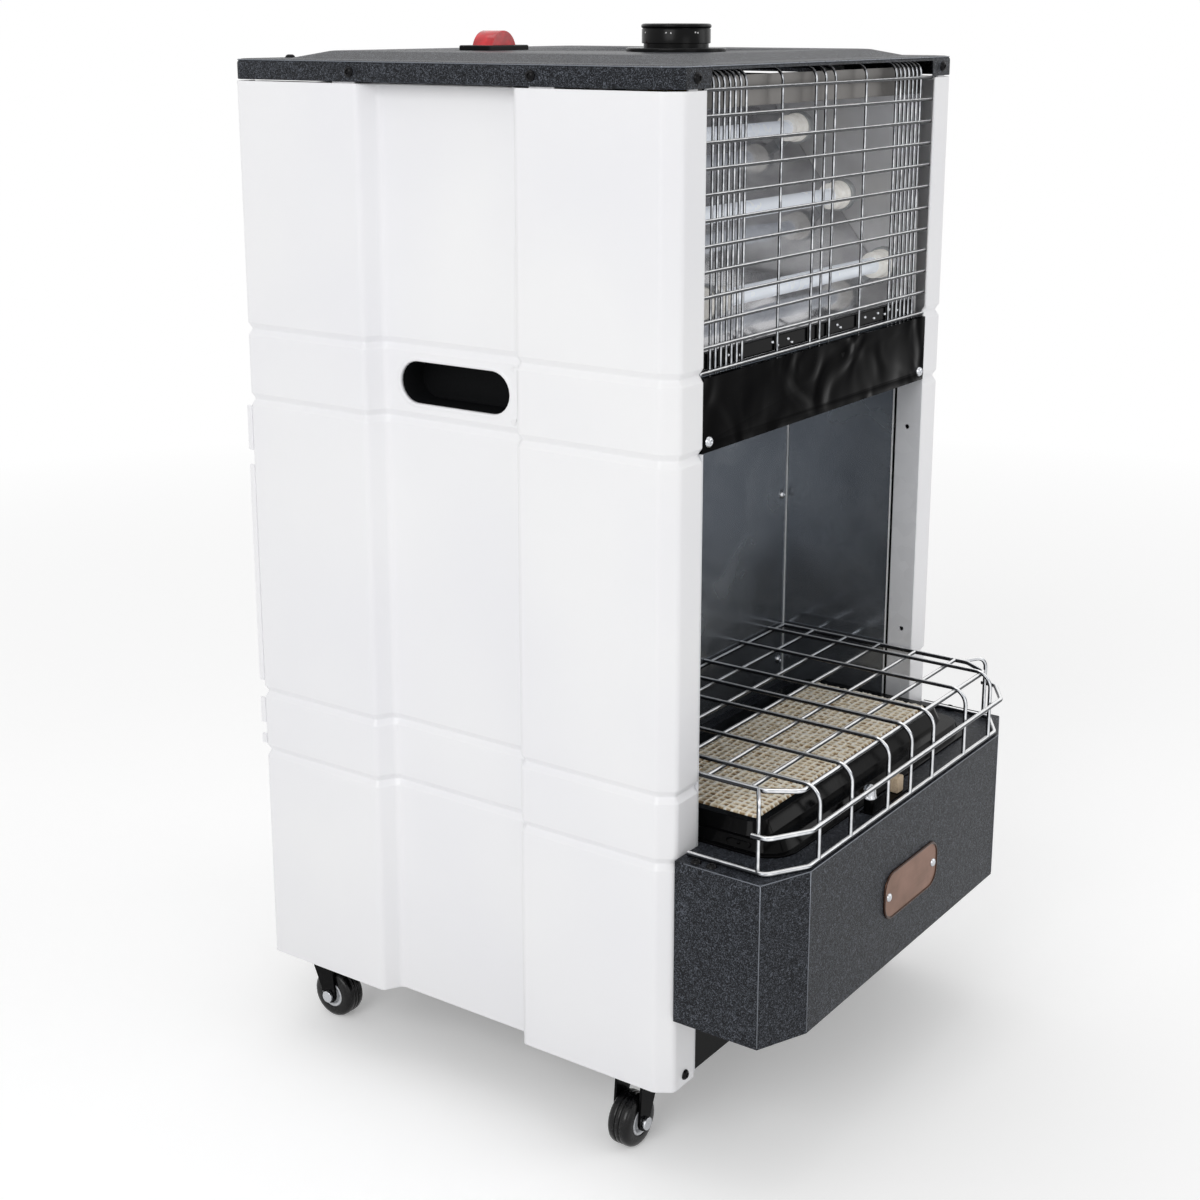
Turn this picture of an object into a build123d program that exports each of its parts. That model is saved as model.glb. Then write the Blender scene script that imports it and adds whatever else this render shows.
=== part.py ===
from build123d import *
import math
import os

os.makedirs("parts", exist_ok=True)

# Portable gas cabinet heater. Millimetres, +Z up, front towards -Y.
# X is measured from the middle of the cabinet and Y from the middle of its depth.

# Cabinet
WIDTH = 380.0
DEPTH = 366.0
PANEL_BOTTOM = 62.0
PANEL_TOP = 725.0
SHEET = 1.5
LINER_SHEET = 1.0
FIT_GAP = 0.3
CORNER_X = 8.0
CORNER_Y = 12.0
STRIP_WIDTH = 32.5
REAR_RETURN = 18.0
RECESS_DEPTH = 13.5
RECESS_REAR = 63.0
RECESS_FRONT = -53.0
RECESS_SLANT = 8.0
GROOVES = (551.3, 500.2, 276.3, 229.2)
GROOVE_HALF = 4.5
GROOVE_DEPTH = 3.0
FLANGE_WIDTH = 25.0
FLANGE_SETBACK = 0.5
TAB_HEIGHT = 11.0
LIPS = ((462.0, 495.0), (285.0, 451.0), (251.0, 271.0), (234.5, 242.0))
LIP_REACH = 3.0
LIP_THICK = 2.0
SIDE_X = WIDTH / 2
FRONT_Y = -DEPTH / 2
REAR_Y = DEPTH / 2
OPENING_HALF = SIDE_X - STRIP_WIDTH

# Handle cups
SLOT_LENGTH = 94.0
SLOT_HEIGHT = 29.0
SLOT_Y = 2.4
SLOT_Z = 526.0
CUP_DEPTH = 24.0
CUP_RIM = 6.0

# Lid
LID_HEIGHT = 14.0
LID_SEAT_GAP = 1.0
LUG_WIDTH = 37.5
LIP_HEIGHT = 3.0
SLOPE_START = 24.0
SLOPE_END = 44.0
PLATEAU_RISE = 5.0
LUG_INNER = SIDE_X - LUG_WIDTH
LID_BOTTOM = PANEL_TOP + LID_SEAT_GAP
LID_TOP = LID_BOTTOM + LID_HEIGHT
PLATEAU_Z = LID_TOP + PLATEAU_RISE

# Screws
SCREW_R = 3.5
SCREW_HEAD = 2.2
SHANK_R = 1.6
SHANK_LENGTH = 5.0
HOLE_GAP = 0.15
LID_SCREW_RISE = 6.5
LID_SIDE_SCREWS = (76.4, -74.4)
LUG_SCREW_INSET = 21.5
TOP_SCREW_INSET = 20.0
TOP_SCREW_CORNER = 40.0
TOP_SCREW_REAR = 15.0
BASE_SCREW_INSET = 21.0
BASE_SCREW_RISE = 8.0
EDGE_SCREW_INSET = 7.5
LID_SCREW_Z = LID_BOTTOM + LID_SCREW_RISE
LUG_SCREW_X = SIDE_X - LUG_SCREW_INSET
LID_TOP_SCREWS = (
    (SIDE_X - TOP_SCREW_INSET, -TOP_SCREW_INSET),
    (-TOP_SCREW_INSET, REAR_Y - TOP_SCREW_REAR),
    (TOP_SCREW_CORNER - SIDE_X, REAR_Y - TOP_SCREW_REAR),
)
BASE_SCREW_X = SIDE_X - BASE_SCREW_INSET
BASE_SCREW_Z = PANEL_BOTTOM + BASE_SCREW_RISE
WALL_SCREW_X = OPENING_HALF - EDGE_SCREW_INSET
WALL_SCREW_HEIGHTS = (395.0, 255.0)

# Gas valve and its knob
KNOB_X = -30.0
KNOB_SETBACK = 105.0
KNOB_R = 24.0
KNOB_ROUND = 1.8
KNOB_WALL = 1.5
KNOB_HEIGHT = 13.2
KNOB_PUSH = 2.5
ESCUTCHEON_R = 34.0
ESCUTCHEON_THICK = 2.5
COLLAR_WALL = 2.0
COLLAR_HEIGHT = 4.5
SPINDLE_R = 4.0
SPINDLE_LENGTH = 26.0
SLEEVE_R = 5.5
SLEEVE_LENGTH = 18.0
RUN_GAP = 0.05
VALVE_LENGTH = 34.0
VALVE_WIDTH = 26.0
VALVE_HEIGHT = 24.0
VALVE_SEAT_GAP = 4.0
PORT_OFFSET = 8.0
PORT_DROP = 14.0
KNOB_Y = FRONT_Y + KNOB_SETBACK
VALVE_TOP = PLATEAU_Z - VALVE_SEAT_GAP
VALVE_BOTTOM = VALVE_TOP - VALVE_HEIGHT
PORT_Z = VALVE_TOP - PORT_DROP
KNOB_BOTTOM = PLATEAU_Z + ESCUTCHEON_THICK + KNOB_PUSH + FIT_GAP
KNOB_TOP = KNOB_BOTTOM + KNOB_HEIGHT

# Fascia
FASCIA_BOTTOM = 500.7
FASCIA_TOP = 548.7
FASCIA_THICK = 1.2
FASCIA_DEPTH = 4.6
FASCIA_SCREW_RISE = 6.8
FASCIA_TAB_RISE = 10.5
FASCIA_SCREW_X = OPENING_HALF - EDGE_SCREW_INSET
FASCIA_SCREW_Z = FASCIA_BOTTOM + FASCIA_SCREW_RISE
FASCIA_TAB_TOP = FASCIA_SCREW_Z + FASCIA_TAB_RISE

# Lower cavity and its rails
CAVITY_DEPTH = 117.0
CEILING_SETBACK = 6.5
CAVITY_BACK = FRONT_Y + CAVITY_DEPTH
CAVITY_CEILING = FASCIA_TOP + SHEET
LINER_HALF = OPENING_HALF - FIT_GAP
CEILING_FRONT = FRONT_Y + CEILING_SETBACK
RAIL_THICK = 1.1
RAIL_DEPTH = 21.5
RAIL_LEG_SETBACK = 4.8
RAIL_LEG_REACH = 18.0
RAIL_HOLES = ((11.0, 462.5), (9.0, 300.0))
RAIL_HOLE_R = 1.8
RAIL_INNER = OPENING_HALF - RAIL_THICK - FIT_GAP / 3
RAIL_REAR = FRONT_Y + RAIL_DEPTH
RAIL_LEG_Y = FRONT_Y + RAIL_LEG_SETBACK
RAIL_TOP = FASCIA_BOTTOM - FIT_GAP

# Rocker switch
SWITCH_X = -59.5
SWITCH_REAR = 126.5
BEZEL_X = 45.0
BEZEL_Y = 27.0
BEZEL_THICK = 3.5
SWITCH_BODY_X = 40.0
SWITCH_BODY_Y = 22.0
SWITCH_BODY_DEPTH = 20.0
ROCKER_R = 14.0
ROCKER_WIDTH = 18.0
ROCKER_UNDERSIDE = 6.0
ROCKER_PIN_R = 1.5
PIVOT_DEPTH = 4.0
SWITCH_Y = REAR_Y - SWITCH_REAR

# Front grille
WIRE_R = 1.2
WIRE_THIN_R = 1.0
WIRE_SINK = 0.2
GRILLE_SETBACK = 2.8
GRILLE_STEP = 15.8
GRILLE_ROWS = 12
GRILLE_GROUP_MARGIN = 14.7
GRILLE_GROUP_STEP = 6.5
GRILLE_GROUP_COUNT = 7
GRILLE_MIDDLE = (-58.0, -13.5, 0.0, 13.5, 58.0)
GRILLE_HOOK_RISE = 11.0
GRILLE_HOOK_R = 8.0
GRILLE_HOOK_BACK = 14.0
GRILLE_Y = FRONT_Y + GRILLE_SETBACK
GRILLE_TOP = PANEL_TOP
GRILLE_HOOK_Z = PANEL_TOP + GRILLE_HOOK_RISE
GRILLE_HALF = OPENING_HALF - FIT_GAP
GRILLE_BOTTOM = FASCIA_TOP + FIT_GAP

# Upper heater chamber
END_PLATE_MARGIN = 2.5
REFLECTOR_LIP = 10.0
REFLECTOR_BEHIND = 22.0
TUBE_ABOVE = 39.4
TUBE_SETBACK = 20.5
TUBE_STEP_Y = 37.25
TUBE_STEP_Z = 48.25
TUBE_COUNT = 3
TUBE_R = 5.85
TUBE_WALL = 1.1
TUBE_END_ROOM = 33.0
ELEMENT_R = 3.6
CAP_R = 10.5
CAP_LENGTH = 26.0
CAP_FLOOR = 10.0
CAP_WEB = 8.0
TERMINAL_LENGTH = 9.0
TERMINAL_WIDTH = 6.3
TERMINAL_THICK = 0.8
CHAMBER_DROP = 11.0
CHAMBER_RISE = 8.0
CHAMBER_SETBACK = 11.0
CLIP_WIDTH = 6.0
CLIP_THICK = 1.5
CLIP_STEM = 8.0
END_PLATE_X = OPENING_HALF - END_PLATE_MARGIN
REFLECTOR_HALF = END_PLATE_X - 0.4
REFLECTOR_BASE_Z = CAVITY_CEILING + LINER_SHEET + 0.4
CHAMBER_TOP = PANEL_TOP - CHAMBER_DROP
CHAMBER_FLANGE = PANEL_TOP + CHAMBER_RISE
CHAMBER_FRONT = FRONT_Y + CHAMBER_SETBACK
LOWEST_TUBE = (FRONT_Y + TUBE_SETBACK, REFLECTOR_BASE_Z + TUBE_ABOVE)
TUBE_LENGTH = 2 * (END_PLATE_X - TUBE_END_ROOM)
CAP_OUTER_X = TUBE_LENGTH / 2 + CAP_FLOOR
TUBE_ROW = [
    (LOWEST_TUBE[0] + k * TUBE_STEP_Y, LOWEST_TUBE[1] + k * TUBE_STEP_Z) for k in range(TUBE_COUNT)
]
TUBE_PITCH = math.hypot(TUBE_STEP_Y, TUBE_STEP_Z)
ROW_DIR = (TUBE_STEP_Y / TUBE_PITCH, TUBE_STEP_Z / TUBE_PITCH)
BEHIND_DIR = (ROW_DIR[1], -ROW_DIR[0])

# Tray
TRAY_SIDE_INSET = 5.1
TRAY_CORNER_X = 37.6
TRAY_CORNER_Y = 15.9
TRAY_BOTTOM = 117.6
TRAY_TOP = 233.9
TRAY_SEAT = 0.2
TRAY_LUG = 24.0
TRAY_WINDOW_MARGIN = 10.5
TRAY_RIM = 22.7
TRAY_WINDOW_R = 20.0
TRAY_WINDOW_SETBACK = 12.0
TRAY_SCREW_INSET = 5.7
TRAY_SCREW_SETBACKS = (13.0, 25.0)
TRAY_HALF = SIDE_X - TRAY_SIDE_INSET
TRAY_WINDOW_X = OPENING_HALF - TRAY_WINDOW_MARGIN
TRAY_WINDOW_REAR = CAVITY_BACK - TRAY_WINDOW_SETBACK
TRAY_SCREW_X = TRAY_HALF - TRAY_SCREW_INSET
TRAY_SCREWS = [(TRAY_SCREW_X, FRONT_Y - setback) for setback in TRAY_SCREW_SETBACKS]
FLANGE_UNDER = TRAY_TOP - SHEET

# Burner
BURNER_SETBACK = 22.0
PAN_MARGIN = 6.5
PAN_RIM = 6.0
PAN_R = 24.0
PAN_SHEET = 1.5
RIDGE_LOW_INSET = 5.0
RIDGE_LOW_STEP = 16.0
RIDGE_LOW_RISE = 8.1
RIDGE_HIGH_INSET = 7.0
RIDGE_HIGH_MARGIN = 7.0
RIDGE_HIGH_RISE = 17.1
RIDGE_DRAFT = 3.0
PLAQUE_COUNT = 4
PLAQUE_INSET = 8.0
PLAQUE_WIDTH = 106.0
PLAQUE_THICK = 13.0
PLAQUE_GAP = 0.4
WINDOW_LAP = 2.0
PLENUM_DEPTH = 51.0
VENTURI_R = 9.0
VENTURI_LENGTH = 24.0
VENTURI_RISE = 3.0
INJECTOR_R = 6.0
INJECTOR_LENGTH = 14.0
BURNER_Y = FRONT_Y + BURNER_SETBACK
PAN_X = OPENING_HALF - PAN_MARGIN
RIDGE_HIGH_Y = PLAQUE_WIDTH / 2 + RIDGE_HIGH_MARGIN
RIDGE_LOW_Y = RIDGE_HIGH_Y + RIDGE_LOW_STEP
PAN_Y = RIDGE_LOW_Y + PAN_RIM
RIDGE_LOW_X = PAN_X - RIDGE_LOW_INSET
RIDGE_LOW_Z = TRAY_TOP + RIDGE_LOW_RISE
RIDGE_HIGH_X = RIDGE_LOW_X - RIDGE_HIGH_INSET
RIDGE_HIGH_Z = TRAY_TOP + RIDGE_HIGH_RISE
PLAQUE_HALF_X = RIDGE_HIGH_X - PLAQUE_INSET
PLAQUE_LENGTH = (2 * PLAQUE_HALF_X - (PLAQUE_COUNT - 1) * PLAQUE_GAP) / PLAQUE_COUNT
PLENUM_BOTTOM = RIDGE_HIGH_Z - PLENUM_DEPTH

# Gas pipes
PIPE_R = 4.0
PIPE_BEND = 20.0
BURNER_PIPE_BEHIND = 34.0
INLET_Y = 44.0
INLET_DROP = 25.0
NIPPLE_R = 6.58
NIPPLE_LENGTH = 12.0
HEX_ACROSS = 19.0
HEX_HEIGHT = 9.0
BURNER_PIPE_Y = CAVITY_BACK + BURNER_PIPE_BEHIND
BURNER_PIPE_Z = PLENUM_BOTTOM + VENTURI_R - 1.0
NIPPLE_TOP = PORT_Z - INLET_DROP

# Pilot and electrode
PILOT_X = -40.0
PILOT_GAP = 6.5
PILOT_SETBACK = 14.2
PILOT_R = 5.0
PILOT_RISE = 20.1
ELECTRODE_X = 0.0
ELECTRODE_SIZE = (8.0, 8.0, 14.0)
ELECTRODE_PIN_R = 0.9
ELECTRODE_PIN = 5.0
BRACKET_THICK = 1.2
BRACKET_LENGTH = 58.0
BRACKET_WIDTH = 12.0
PILOT_Y = BURNER_Y - PAN_Y - PILOT_GAP
TRAY_FRONT = PILOT_Y - PILOT_SETBACK
TRAY_WINDOW_FRONT = TRAY_FRONT + TRAY_RIM
PILOT_TOP = TRAY_TOP + PILOT_RISE

# Wire guard
GUARD_R = 1.75
GUARD_FIELD_R = 1.5
GUARD_BEND = 12.0
GUARD_CORNER_BEND = 8.0
GUARD_SINK = 0.6
GUARD_WALL_GAP = 0.2
GUARD_BASE_INSET = 11.4
GUARD_FRONT_INSET = 2.7
GUARD_BASE_SETBACK = 3.0
GUARD_BASE_CORNER = (28.0, 17.0)
GUARD_TOP_RISE = 50.1
GUARD_MID_RISE = 28.1
GUARD_TOP_MARGIN = 3.5
GUARD_TOP_SETBACK = 9.0
GUARD_TOP_CORNER = (13.0, 20.0)
GUARD_POST_SHIFT = 5.0
GUARD_CROSS_BACK = (2.3, 29.8, 59.8, 89.8, 120.8, 154.8)
GUARD_LONG_MIDDLE = (-35.0, 0.0, 35.0)
GUARD_LONG_SIDES = (21.0, 65.0)
GUARD_BASE_X = TRAY_HALF - GUARD_BASE_INSET
GUARD_TOP_X = OPENING_HALF - GUARD_TOP_MARGIN
GUARD_FRONT = TRAY_FRONT + GUARD_FRONT_INSET
GUARD_BASE_REAR = FRONT_Y - GUARD_BASE_SETBACK
GUARD_REAR = CAVITY_BACK - LINER_SHEET - GUARD_WALL_GAP
GUARD_TOP = TRAY_TOP + GUARD_TOP_RISE
GUARD_MID = TRAY_TOP + GUARD_MID_RISE
GUARD_CROSS = [GUARD_REAR - back for back in GUARD_CROSS_BACK]
GUARD_SIDES = [GUARD_TOP_X - inset for inset in GUARD_LONG_SIDES]
GUARD_LONG = [-x for x in GUARD_SIDES] + list(GUARD_LONG_MIDDLE) + GUARD_SIDES

# Nameplate
PLATE_LENGTH = 84.0
PLATE_HEIGHT = 36.0
PLATE_R = 13.0
PLATE_THICK = 1.2
PLATE_X = 1.5
PLATE_RISE = 52.4
RIVET_SPREAD = 35.0
RIVET_R = 3.0
RIVET_HEAD = 1.4
PLATE_Z = TRAY_BOTTOM + PLATE_RISE
NAMEPLATE_FACE = TRAY_FRONT - PLATE_THICK

# Base
BASE_THICK = 2.0
BASE_RIM = 6.0
BASE_FRONT_SETBACK = 3.5
BASE_FRONT_GAP = 1.6
BASE_REAR_SETBACK = 2.0
BASE_RIM_SETBACK = 13.0
VENT_R = 12.0
VENT_STEP = 80.0
BASE_HALF_X = SIDE_X - RECESS_DEPTH - SHEET - FIT_GAP
BASE_FRONT = FRONT_Y + BASE_FRONT_SETBACK
BASE_REAR = REAR_Y - BASE_REAR_SETBACK
BASE_UNDER = PANEL_BOTTOM + SHEET
BASE_TOP = BASE_UNDER + BASE_THICK
BASE_FRONT_TOP = TRAY_BOTTOM - BASE_FRONT_GAP

# Rear closures
REAR_PLATE_INSET = 10.0
REAR_GAP = 0.3
REAR_THICK = 1.4
COVER_DROP = 3.0
COVER_GAP = 2.0
LOUVRE_ROWS = 6
LOUVRE_STEP = 20.0
LOUVRE_LENGTH = 90.0
LOUVRE_SPLIT = 30.0
LOUVRE_HEIGHT = 5.0
LOUVRE_RISE = 110.0
DOOR_TOP = 478.0
DOOR_RISE = 6.0
HINGE_INSET = 15.0
KNUCKLE_R = 2.6
HINGE_PIN_R = 1.2
KNUCKLE_LENGTH = 12.0
KNUCKLE_SINK = 0.3
KNUCKLE_GAP = 0.4
HINGE_HEIGHTS = (130.0, 400.0)
LEAF_REACH = 12.0
PULL_REACH = 5.5
PULL_HEIGHT = 50.0
PULL_INSET = 12.0
PULL_Z = 300.0
CATCH_Z = 251.0
CATCH_HEIGHT = 20.0
CATCH_DEPTH = 10.0
CATCH_WIDTH = 10.0
REAR_PLATE_X = SIDE_X - REAR_PLATE_INSET
COVER_BOTTOM = DOOR_TOP + COVER_GAP
COVER_TOP = PANEL_TOP - COVER_DROP
LOUVRE_BOTTOM = COVER_BOTTOM + LOUVRE_RISE
DOOR_BOTTOM = PANEL_BOTTOM + DOOR_RISE
HINGE_X = SIDE_X - HINGE_INSET
DOOR_EDGE_X = HINGE_X - KNUCKLE_R
PULL_X = PULL_INSET - REAR_PLATE_X
REAR_PLATE_Y = REAR_Y + REAR_GAP
LEAF_TOP_Y = REAR_PLATE_Y + REAR_THICK
HINGE_Y = LEAF_TOP_Y + KNUCKLE_R - KNUCKLE_SINK

# Casters: X, Y and turn of each swivel
FRONT_CASTER_INSET = (35.0, 46.0)
REAR_CASTER_INSET = (40.0, 18.0)
WHEEL_R = 19.0
TYRE_WIDTH = 18.0
TYRE_ROUND = 3.5
TYRE_GROOVE = 0.8
HUB_R = 10.5
HUB_WIDTH = 16.5
AXLE_R = 2.5
AXLE_HEAD_R = 4.6
AXLE_HEAD = 3.0
AXLE_GAP = 0.08
TRAIL = 11.0
FORK_GAP = 0.6
FORK_SHEET = 2.0
FORK_DROP = 12.3
FORK_BOSS_R = 6.0
FORK_REAR = -9.0
FORK_FRONT = 14.0
CROWN_R = 14.0
KING_PIN_R = 4.0
KING_PIN_LENGTH = 9.0
RACE_R = 14.0
RACE_GAP = 0.5
MOUNT_THICK = 2.0
MOUNT_WIDTH = 32.0
MOUNT_BACK = 18.0
MOUNT_INNER = 30.0
FORK_TOP = BASE_UNDER - FORK_DROP
RACE_BOTTOM = FORK_TOP + RACE_GAP
FRONT_CASTER = (SIDE_X - FRONT_CASTER_INSET[0], FRONT_Y + FRONT_CASTER_INSET[1])
REAR_CASTER = (SIDE_X - REAR_CASTER_INSET[0], REAR_Y - REAR_CASTER_INSET[1])
CASTERS = {
    "front_left": (-FRONT_CASTER[0], FRONT_CASTER[1], 180.0),
    "front_right": (FRONT_CASTER[0], FRONT_CASTER[1], -55.0),
    "rear_left": (-REAR_CASTER[0], REAR_CASTER[1], -90.0),
    "rear_right": (REAR_CASTER[0], REAR_CASTER[1], -90.0),
}

# The exported model is moved back so that its origin is the middle of its outline.
FRONT_REACH = RIVET_HEAD - NAMEPLATE_FACE
REAR_REACH = max(HINGE_Y + KNUCKLE_R, LEAF_TOP_Y + PULL_REACH)
ORIGIN_Y = (FRONT_REACH - REAR_REACH) / 2


def block(x0, x1, y0, y1, z0, z1):
    """A box from its two corners."""
    return Pos((x0 + x1) / 2, (y0 + y1) / 2, (z0 + z1) / 2) * Box(
        abs(x1 - x0), abs(y1 - y0), abs(z1 - z0)
    )


def both_sides(shape):
    """The shape and its mirror image across the middle of the cabinet."""
    return Compound([*shape.solids(), *mirror(shape, about=Plane.YZ).solids()])


def rod(start, end, radius):
    """A round bar between two points."""
    axis = Vector(*end) - Vector(*start)
    return extrude(Plane(origin=start, z_dir=axis) * Circle(radius), axis.length)


def prism(points, z0, z1):
    """A plan outline raised from z0 to z1."""
    return extrude(Pos(0, 0, z0) * make_face(Polyline(*points, close=True)), z1 - z0)


def side_prism(points, x0, x1):
    """An outline of (y, z) points drawn out along X."""
    face = make_face(Polyline(*[(x0, y, z) for y, z in points], close=True))
    return extrude(face, x1 - x0, dir=(1, 0, 0))


def offset_path(points, distance):
    """An open path moved to its left by a distance, with mitred corners."""
    normals = []
    for (x0, y0), (x1, y1) in zip(points, points[1:]):
        length = math.hypot(x1 - x0, y1 - y0)
        normals.append((-(y1 - y0) / length, (x1 - x0) / length))
    moved = []
    for index, (x, y) in enumerate(points):
        before = normals[max(index - 1, 0)]
        after = normals[min(index, len(normals) - 1)]
        scale = distance / (1 + before[0] * after[0] + before[1] * after[1])
        moved.append((x + (before[0] + after[0]) * scale, y + (before[1] + after[1]) * scale))
    return moved


def sheet_outline(points, thickness, inset=0.0):
    """The closed section of a bent sheet that follows a path."""
    return offset_path(points, inset) + offset_path(points, inset + thickness)[::-1]


def rounded(half_x, half_y, radius, centre_y, z):
    """A rounded rectangle in plan, as a face."""
    return Pos(0, centre_y, z) * RectangleRounded(2 * half_x, 2 * half_y, radius)


def wire(points, radius, bend):
    """A bent round wire through the given points."""
    if len(points) == 2:
        return rod(points[0], points[1], radius)
    path = FilletPolyline(*points, radius=bend)
    return sweep(Plane(origin=path @ 0, z_dir=path % 0) * Circle(radius), path=path)


def joined(solids):
    """One body welded from many."""
    return solids[0].fuse(*solids[1:])


def screw(x, y, z, outward, length=SHANK_LENGTH):
    """A round-headed screw whose head sits on a face at the given point."""
    out = Vector(*outward)
    face = Plane(origin=(x, y, z), z_dir=out)
    head = extrude(face * Circle(SCREW_R), SCREW_HEAD)
    head = fillet(head.faces().sort_by(Axis(face.origin, out))[-1].edges(), SCREW_HEAD * 0.6)
    return head + extrude(face * Circle(SHANK_R), -length)


def screw_hole(x, y, z, outward, length=SHANK_LENGTH):
    """The hole that the screw passes through."""
    face = Plane(origin=(x, y, z), z_dir=outward)
    return extrude(face * Circle(SHANK_R + HOLE_GAP), length, both=True)


def panel_path():
    """The left side panel in plan, from its rear return to the front opening."""
    recess_x = RECESS_DEPTH - SIDE_X
    return [
        (REAR_RETURN - SIDE_X, REAR_Y),
        (-SIDE_X, REAR_Y),
        (-SIDE_X, RECESS_REAR + RECESS_SLANT),
        (recess_x, RECESS_REAR),
        (recess_x, RECESS_FRONT),
        (-SIDE_X, RECESS_FRONT - RECESS_SLANT),
        (-SIDE_X, FRONT_Y + CORNER_Y),
        (CORNER_X - SIDE_X, FRONT_Y),
        (-OPENING_HALF, FRONT_Y),
    ]


def panel_levels():
    """Heights of the panel's sections, with how far each is drawn in."""
    levels = [(PANEL_BOTTOM, 0.0)]
    for middle in sorted(GROOVES):
        levels.append((middle - GROOVE_HALF, 0.0))
        levels.append((middle, GROOVE_DEPTH))
        levels.append((middle + GROOVE_HALF, 0.0))
    return levels + [(PANEL_TOP, 0.0)]


def panel_flange(z0, z1):
    """An inward flange along the panel's edge."""
    path = offset_path(panel_path(), FLANGE_SETBACK)[1:-1]
    inner = FLANGE_WIDTH - SIDE_X
    rear = REAR_Y - FLANGE_SETBACK
    front = FRONT_Y + FLANGE_SETBACK
    return prism(path + [(inner, front), (inner, rear)], z0, z1)


def side_panel_left():
    sections = []
    for z, inset in panel_levels():
        outline = sheet_outline(panel_path(), SHEET, inset)
        sections.append(Pos(0, 0, z) * make_face(Polyline(*outline, close=True)))
    panel = loft(sections, ruled=True)
    panel += panel_flange(PANEL_BOTTOM, PANEL_BOTTOM + SHEET)
    panel += panel_flange(LID_BOTTOM - 2 * SHEET, LID_BOTTOM)
    tab_x = -SIDE_X + SHEET + FIT_GAP
    for y in LID_SIDE_SCREWS:
        reach = math.copysign(20.0, y)
        low = y - reach * 0.15
        panel += block(tab_x, tab_x + SHEET, low, y + reach, LID_BOTTOM - SHEET, LID_BOTTOM + TAB_HEIGHT)
    tab_y = FRONT_Y + SHEET + FIT_GAP
    near = -LUG_SCREW_X - 7
    far = -LUG_SCREW_X + 3.5
    panel += block(near, far, tab_y, tab_y + SHEET, LID_BOTTOM - SHEET, LID_BOTTOM + TAB_HEIGHT)
    for bottom, top in LIPS:
        panel += block(-SIDE_X, LIP_THICK - SIDE_X, REAR_Y - SHEET, REAR_Y + LIP_REACH, bottom, top)
    slot_x = RECESS_DEPTH - SIDE_X
    panel -= slot_prism(SLOT_LENGTH, SLOT_HEIGHT, slot_x - SHEET, slot_x + 2 * SHEET)
    for place in lid_screws() + base_screws():
        if place[0] < 0:
            panel -= screw_hole(*place)
    for x, y, z, outward in fixing_holes():
        panel -= screw_hole(x, y, z, outward, 3 * SHANK_LENGTH)
    return panel


def fixing_holes():
    """Where the rear cover's screws enter the left panel's rear return."""
    x = -(SIDE_X - REAR_RETURN / 2)
    return [(x, REAR_Y, z, (0, 1, 0)) for z in (COVER_BOTTOM + 8.0, COVER_TOP - 8.0)]


def slot_prism(length, height, x0, x1):
    """A stadium drawn out along X at the left handle."""
    face = Plane(origin=(x0, SLOT_Y, SLOT_Z), x_dir=(0, 1, 0), z_dir=(1, 0, 0)) * SlotOverall(
        length, height
    )
    return extrude(face, x1 - x0)


def handle_cups():
    wall = SHEET
    face_x = RECESS_DEPTH - SIDE_X + SHEET + FIT_GAP / 3
    rim = slot_prism(SLOT_LENGTH + 2 * CUP_RIM, SLOT_HEIGHT + 2 * CUP_RIM, face_x, face_x + wall)
    outer = slot_prism(SLOT_LENGTH + 2 * wall, SLOT_HEIGHT + 2 * wall, face_x, face_x + CUP_DEPTH)
    inner = slot_prism(SLOT_LENGTH, SLOT_HEIGHT, face_x - wall, face_x + CUP_DEPTH - wall)
    return both_sides(rim + outer - inner)


def lid_screws():
    """Places of the lid's side and lug screws, with the way each head faces."""
    places = []
    for side in (-1, 1):
        for y in LID_SIDE_SCREWS:
            places.append((side * SIDE_X, y, LID_SCREW_Z, (side, 0, 0)))
        places.append((side * LUG_SCREW_X, FRONT_Y, LID_SCREW_Z, (0, -1, 0)))
    return places


def lid_top_screws():
    return [(x, y, LID_TOP, (0, 0, 1)) for x, y in LID_TOP_SCREWS]


def base_screws():
    """Screws low on each panel's front strip."""
    return [(side * BASE_SCREW_X, FRONT_Y, BASE_SCREW_Z, (0, -1, 0)) for side in (-1, 1)]


def tray_screws():
    return [(side * x, y, TRAY_TOP, (0, 0, 1)) for side in (-1, 1) for x, y in TRAY_SCREWS]


def rear_screws():
    """Screws of the rear cover."""
    places = []
    for x, _, z, outward in fixing_holes():
        places.append((x, LEAF_TOP_Y, z, outward))
        places.append((-x, LEAF_TOP_Y, z, outward))
    return places


def lid_plan(inset):
    half = SIDE_X - inset
    front = FRONT_Y + inset
    rear = REAR_Y - inset
    return [
        (-half, rear),
        (-half, front + CORNER_Y),
        (CORNER_X - half, front),
        (half - CORNER_X, front),
        (half, front + CORNER_Y),
        (half, rear),
    ]


def plateau(inset, drop):
    """The raised middle of the lid with its sloping edge."""
    low = RectangleRounded(WIDTH - 2 * (SLOPE_START + inset), DEPTH - 2 * (SLOPE_START + inset), 12)
    high = RectangleRounded(WIDTH - 2 * (SLOPE_END + inset), DEPTH - 2 * (SLOPE_END + inset), 12)
    return loft([Pos(0, 0, LID_TOP - drop) * low, Pos(0, 0, PLATEAU_Z - drop) * high], ruled=True)


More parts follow.
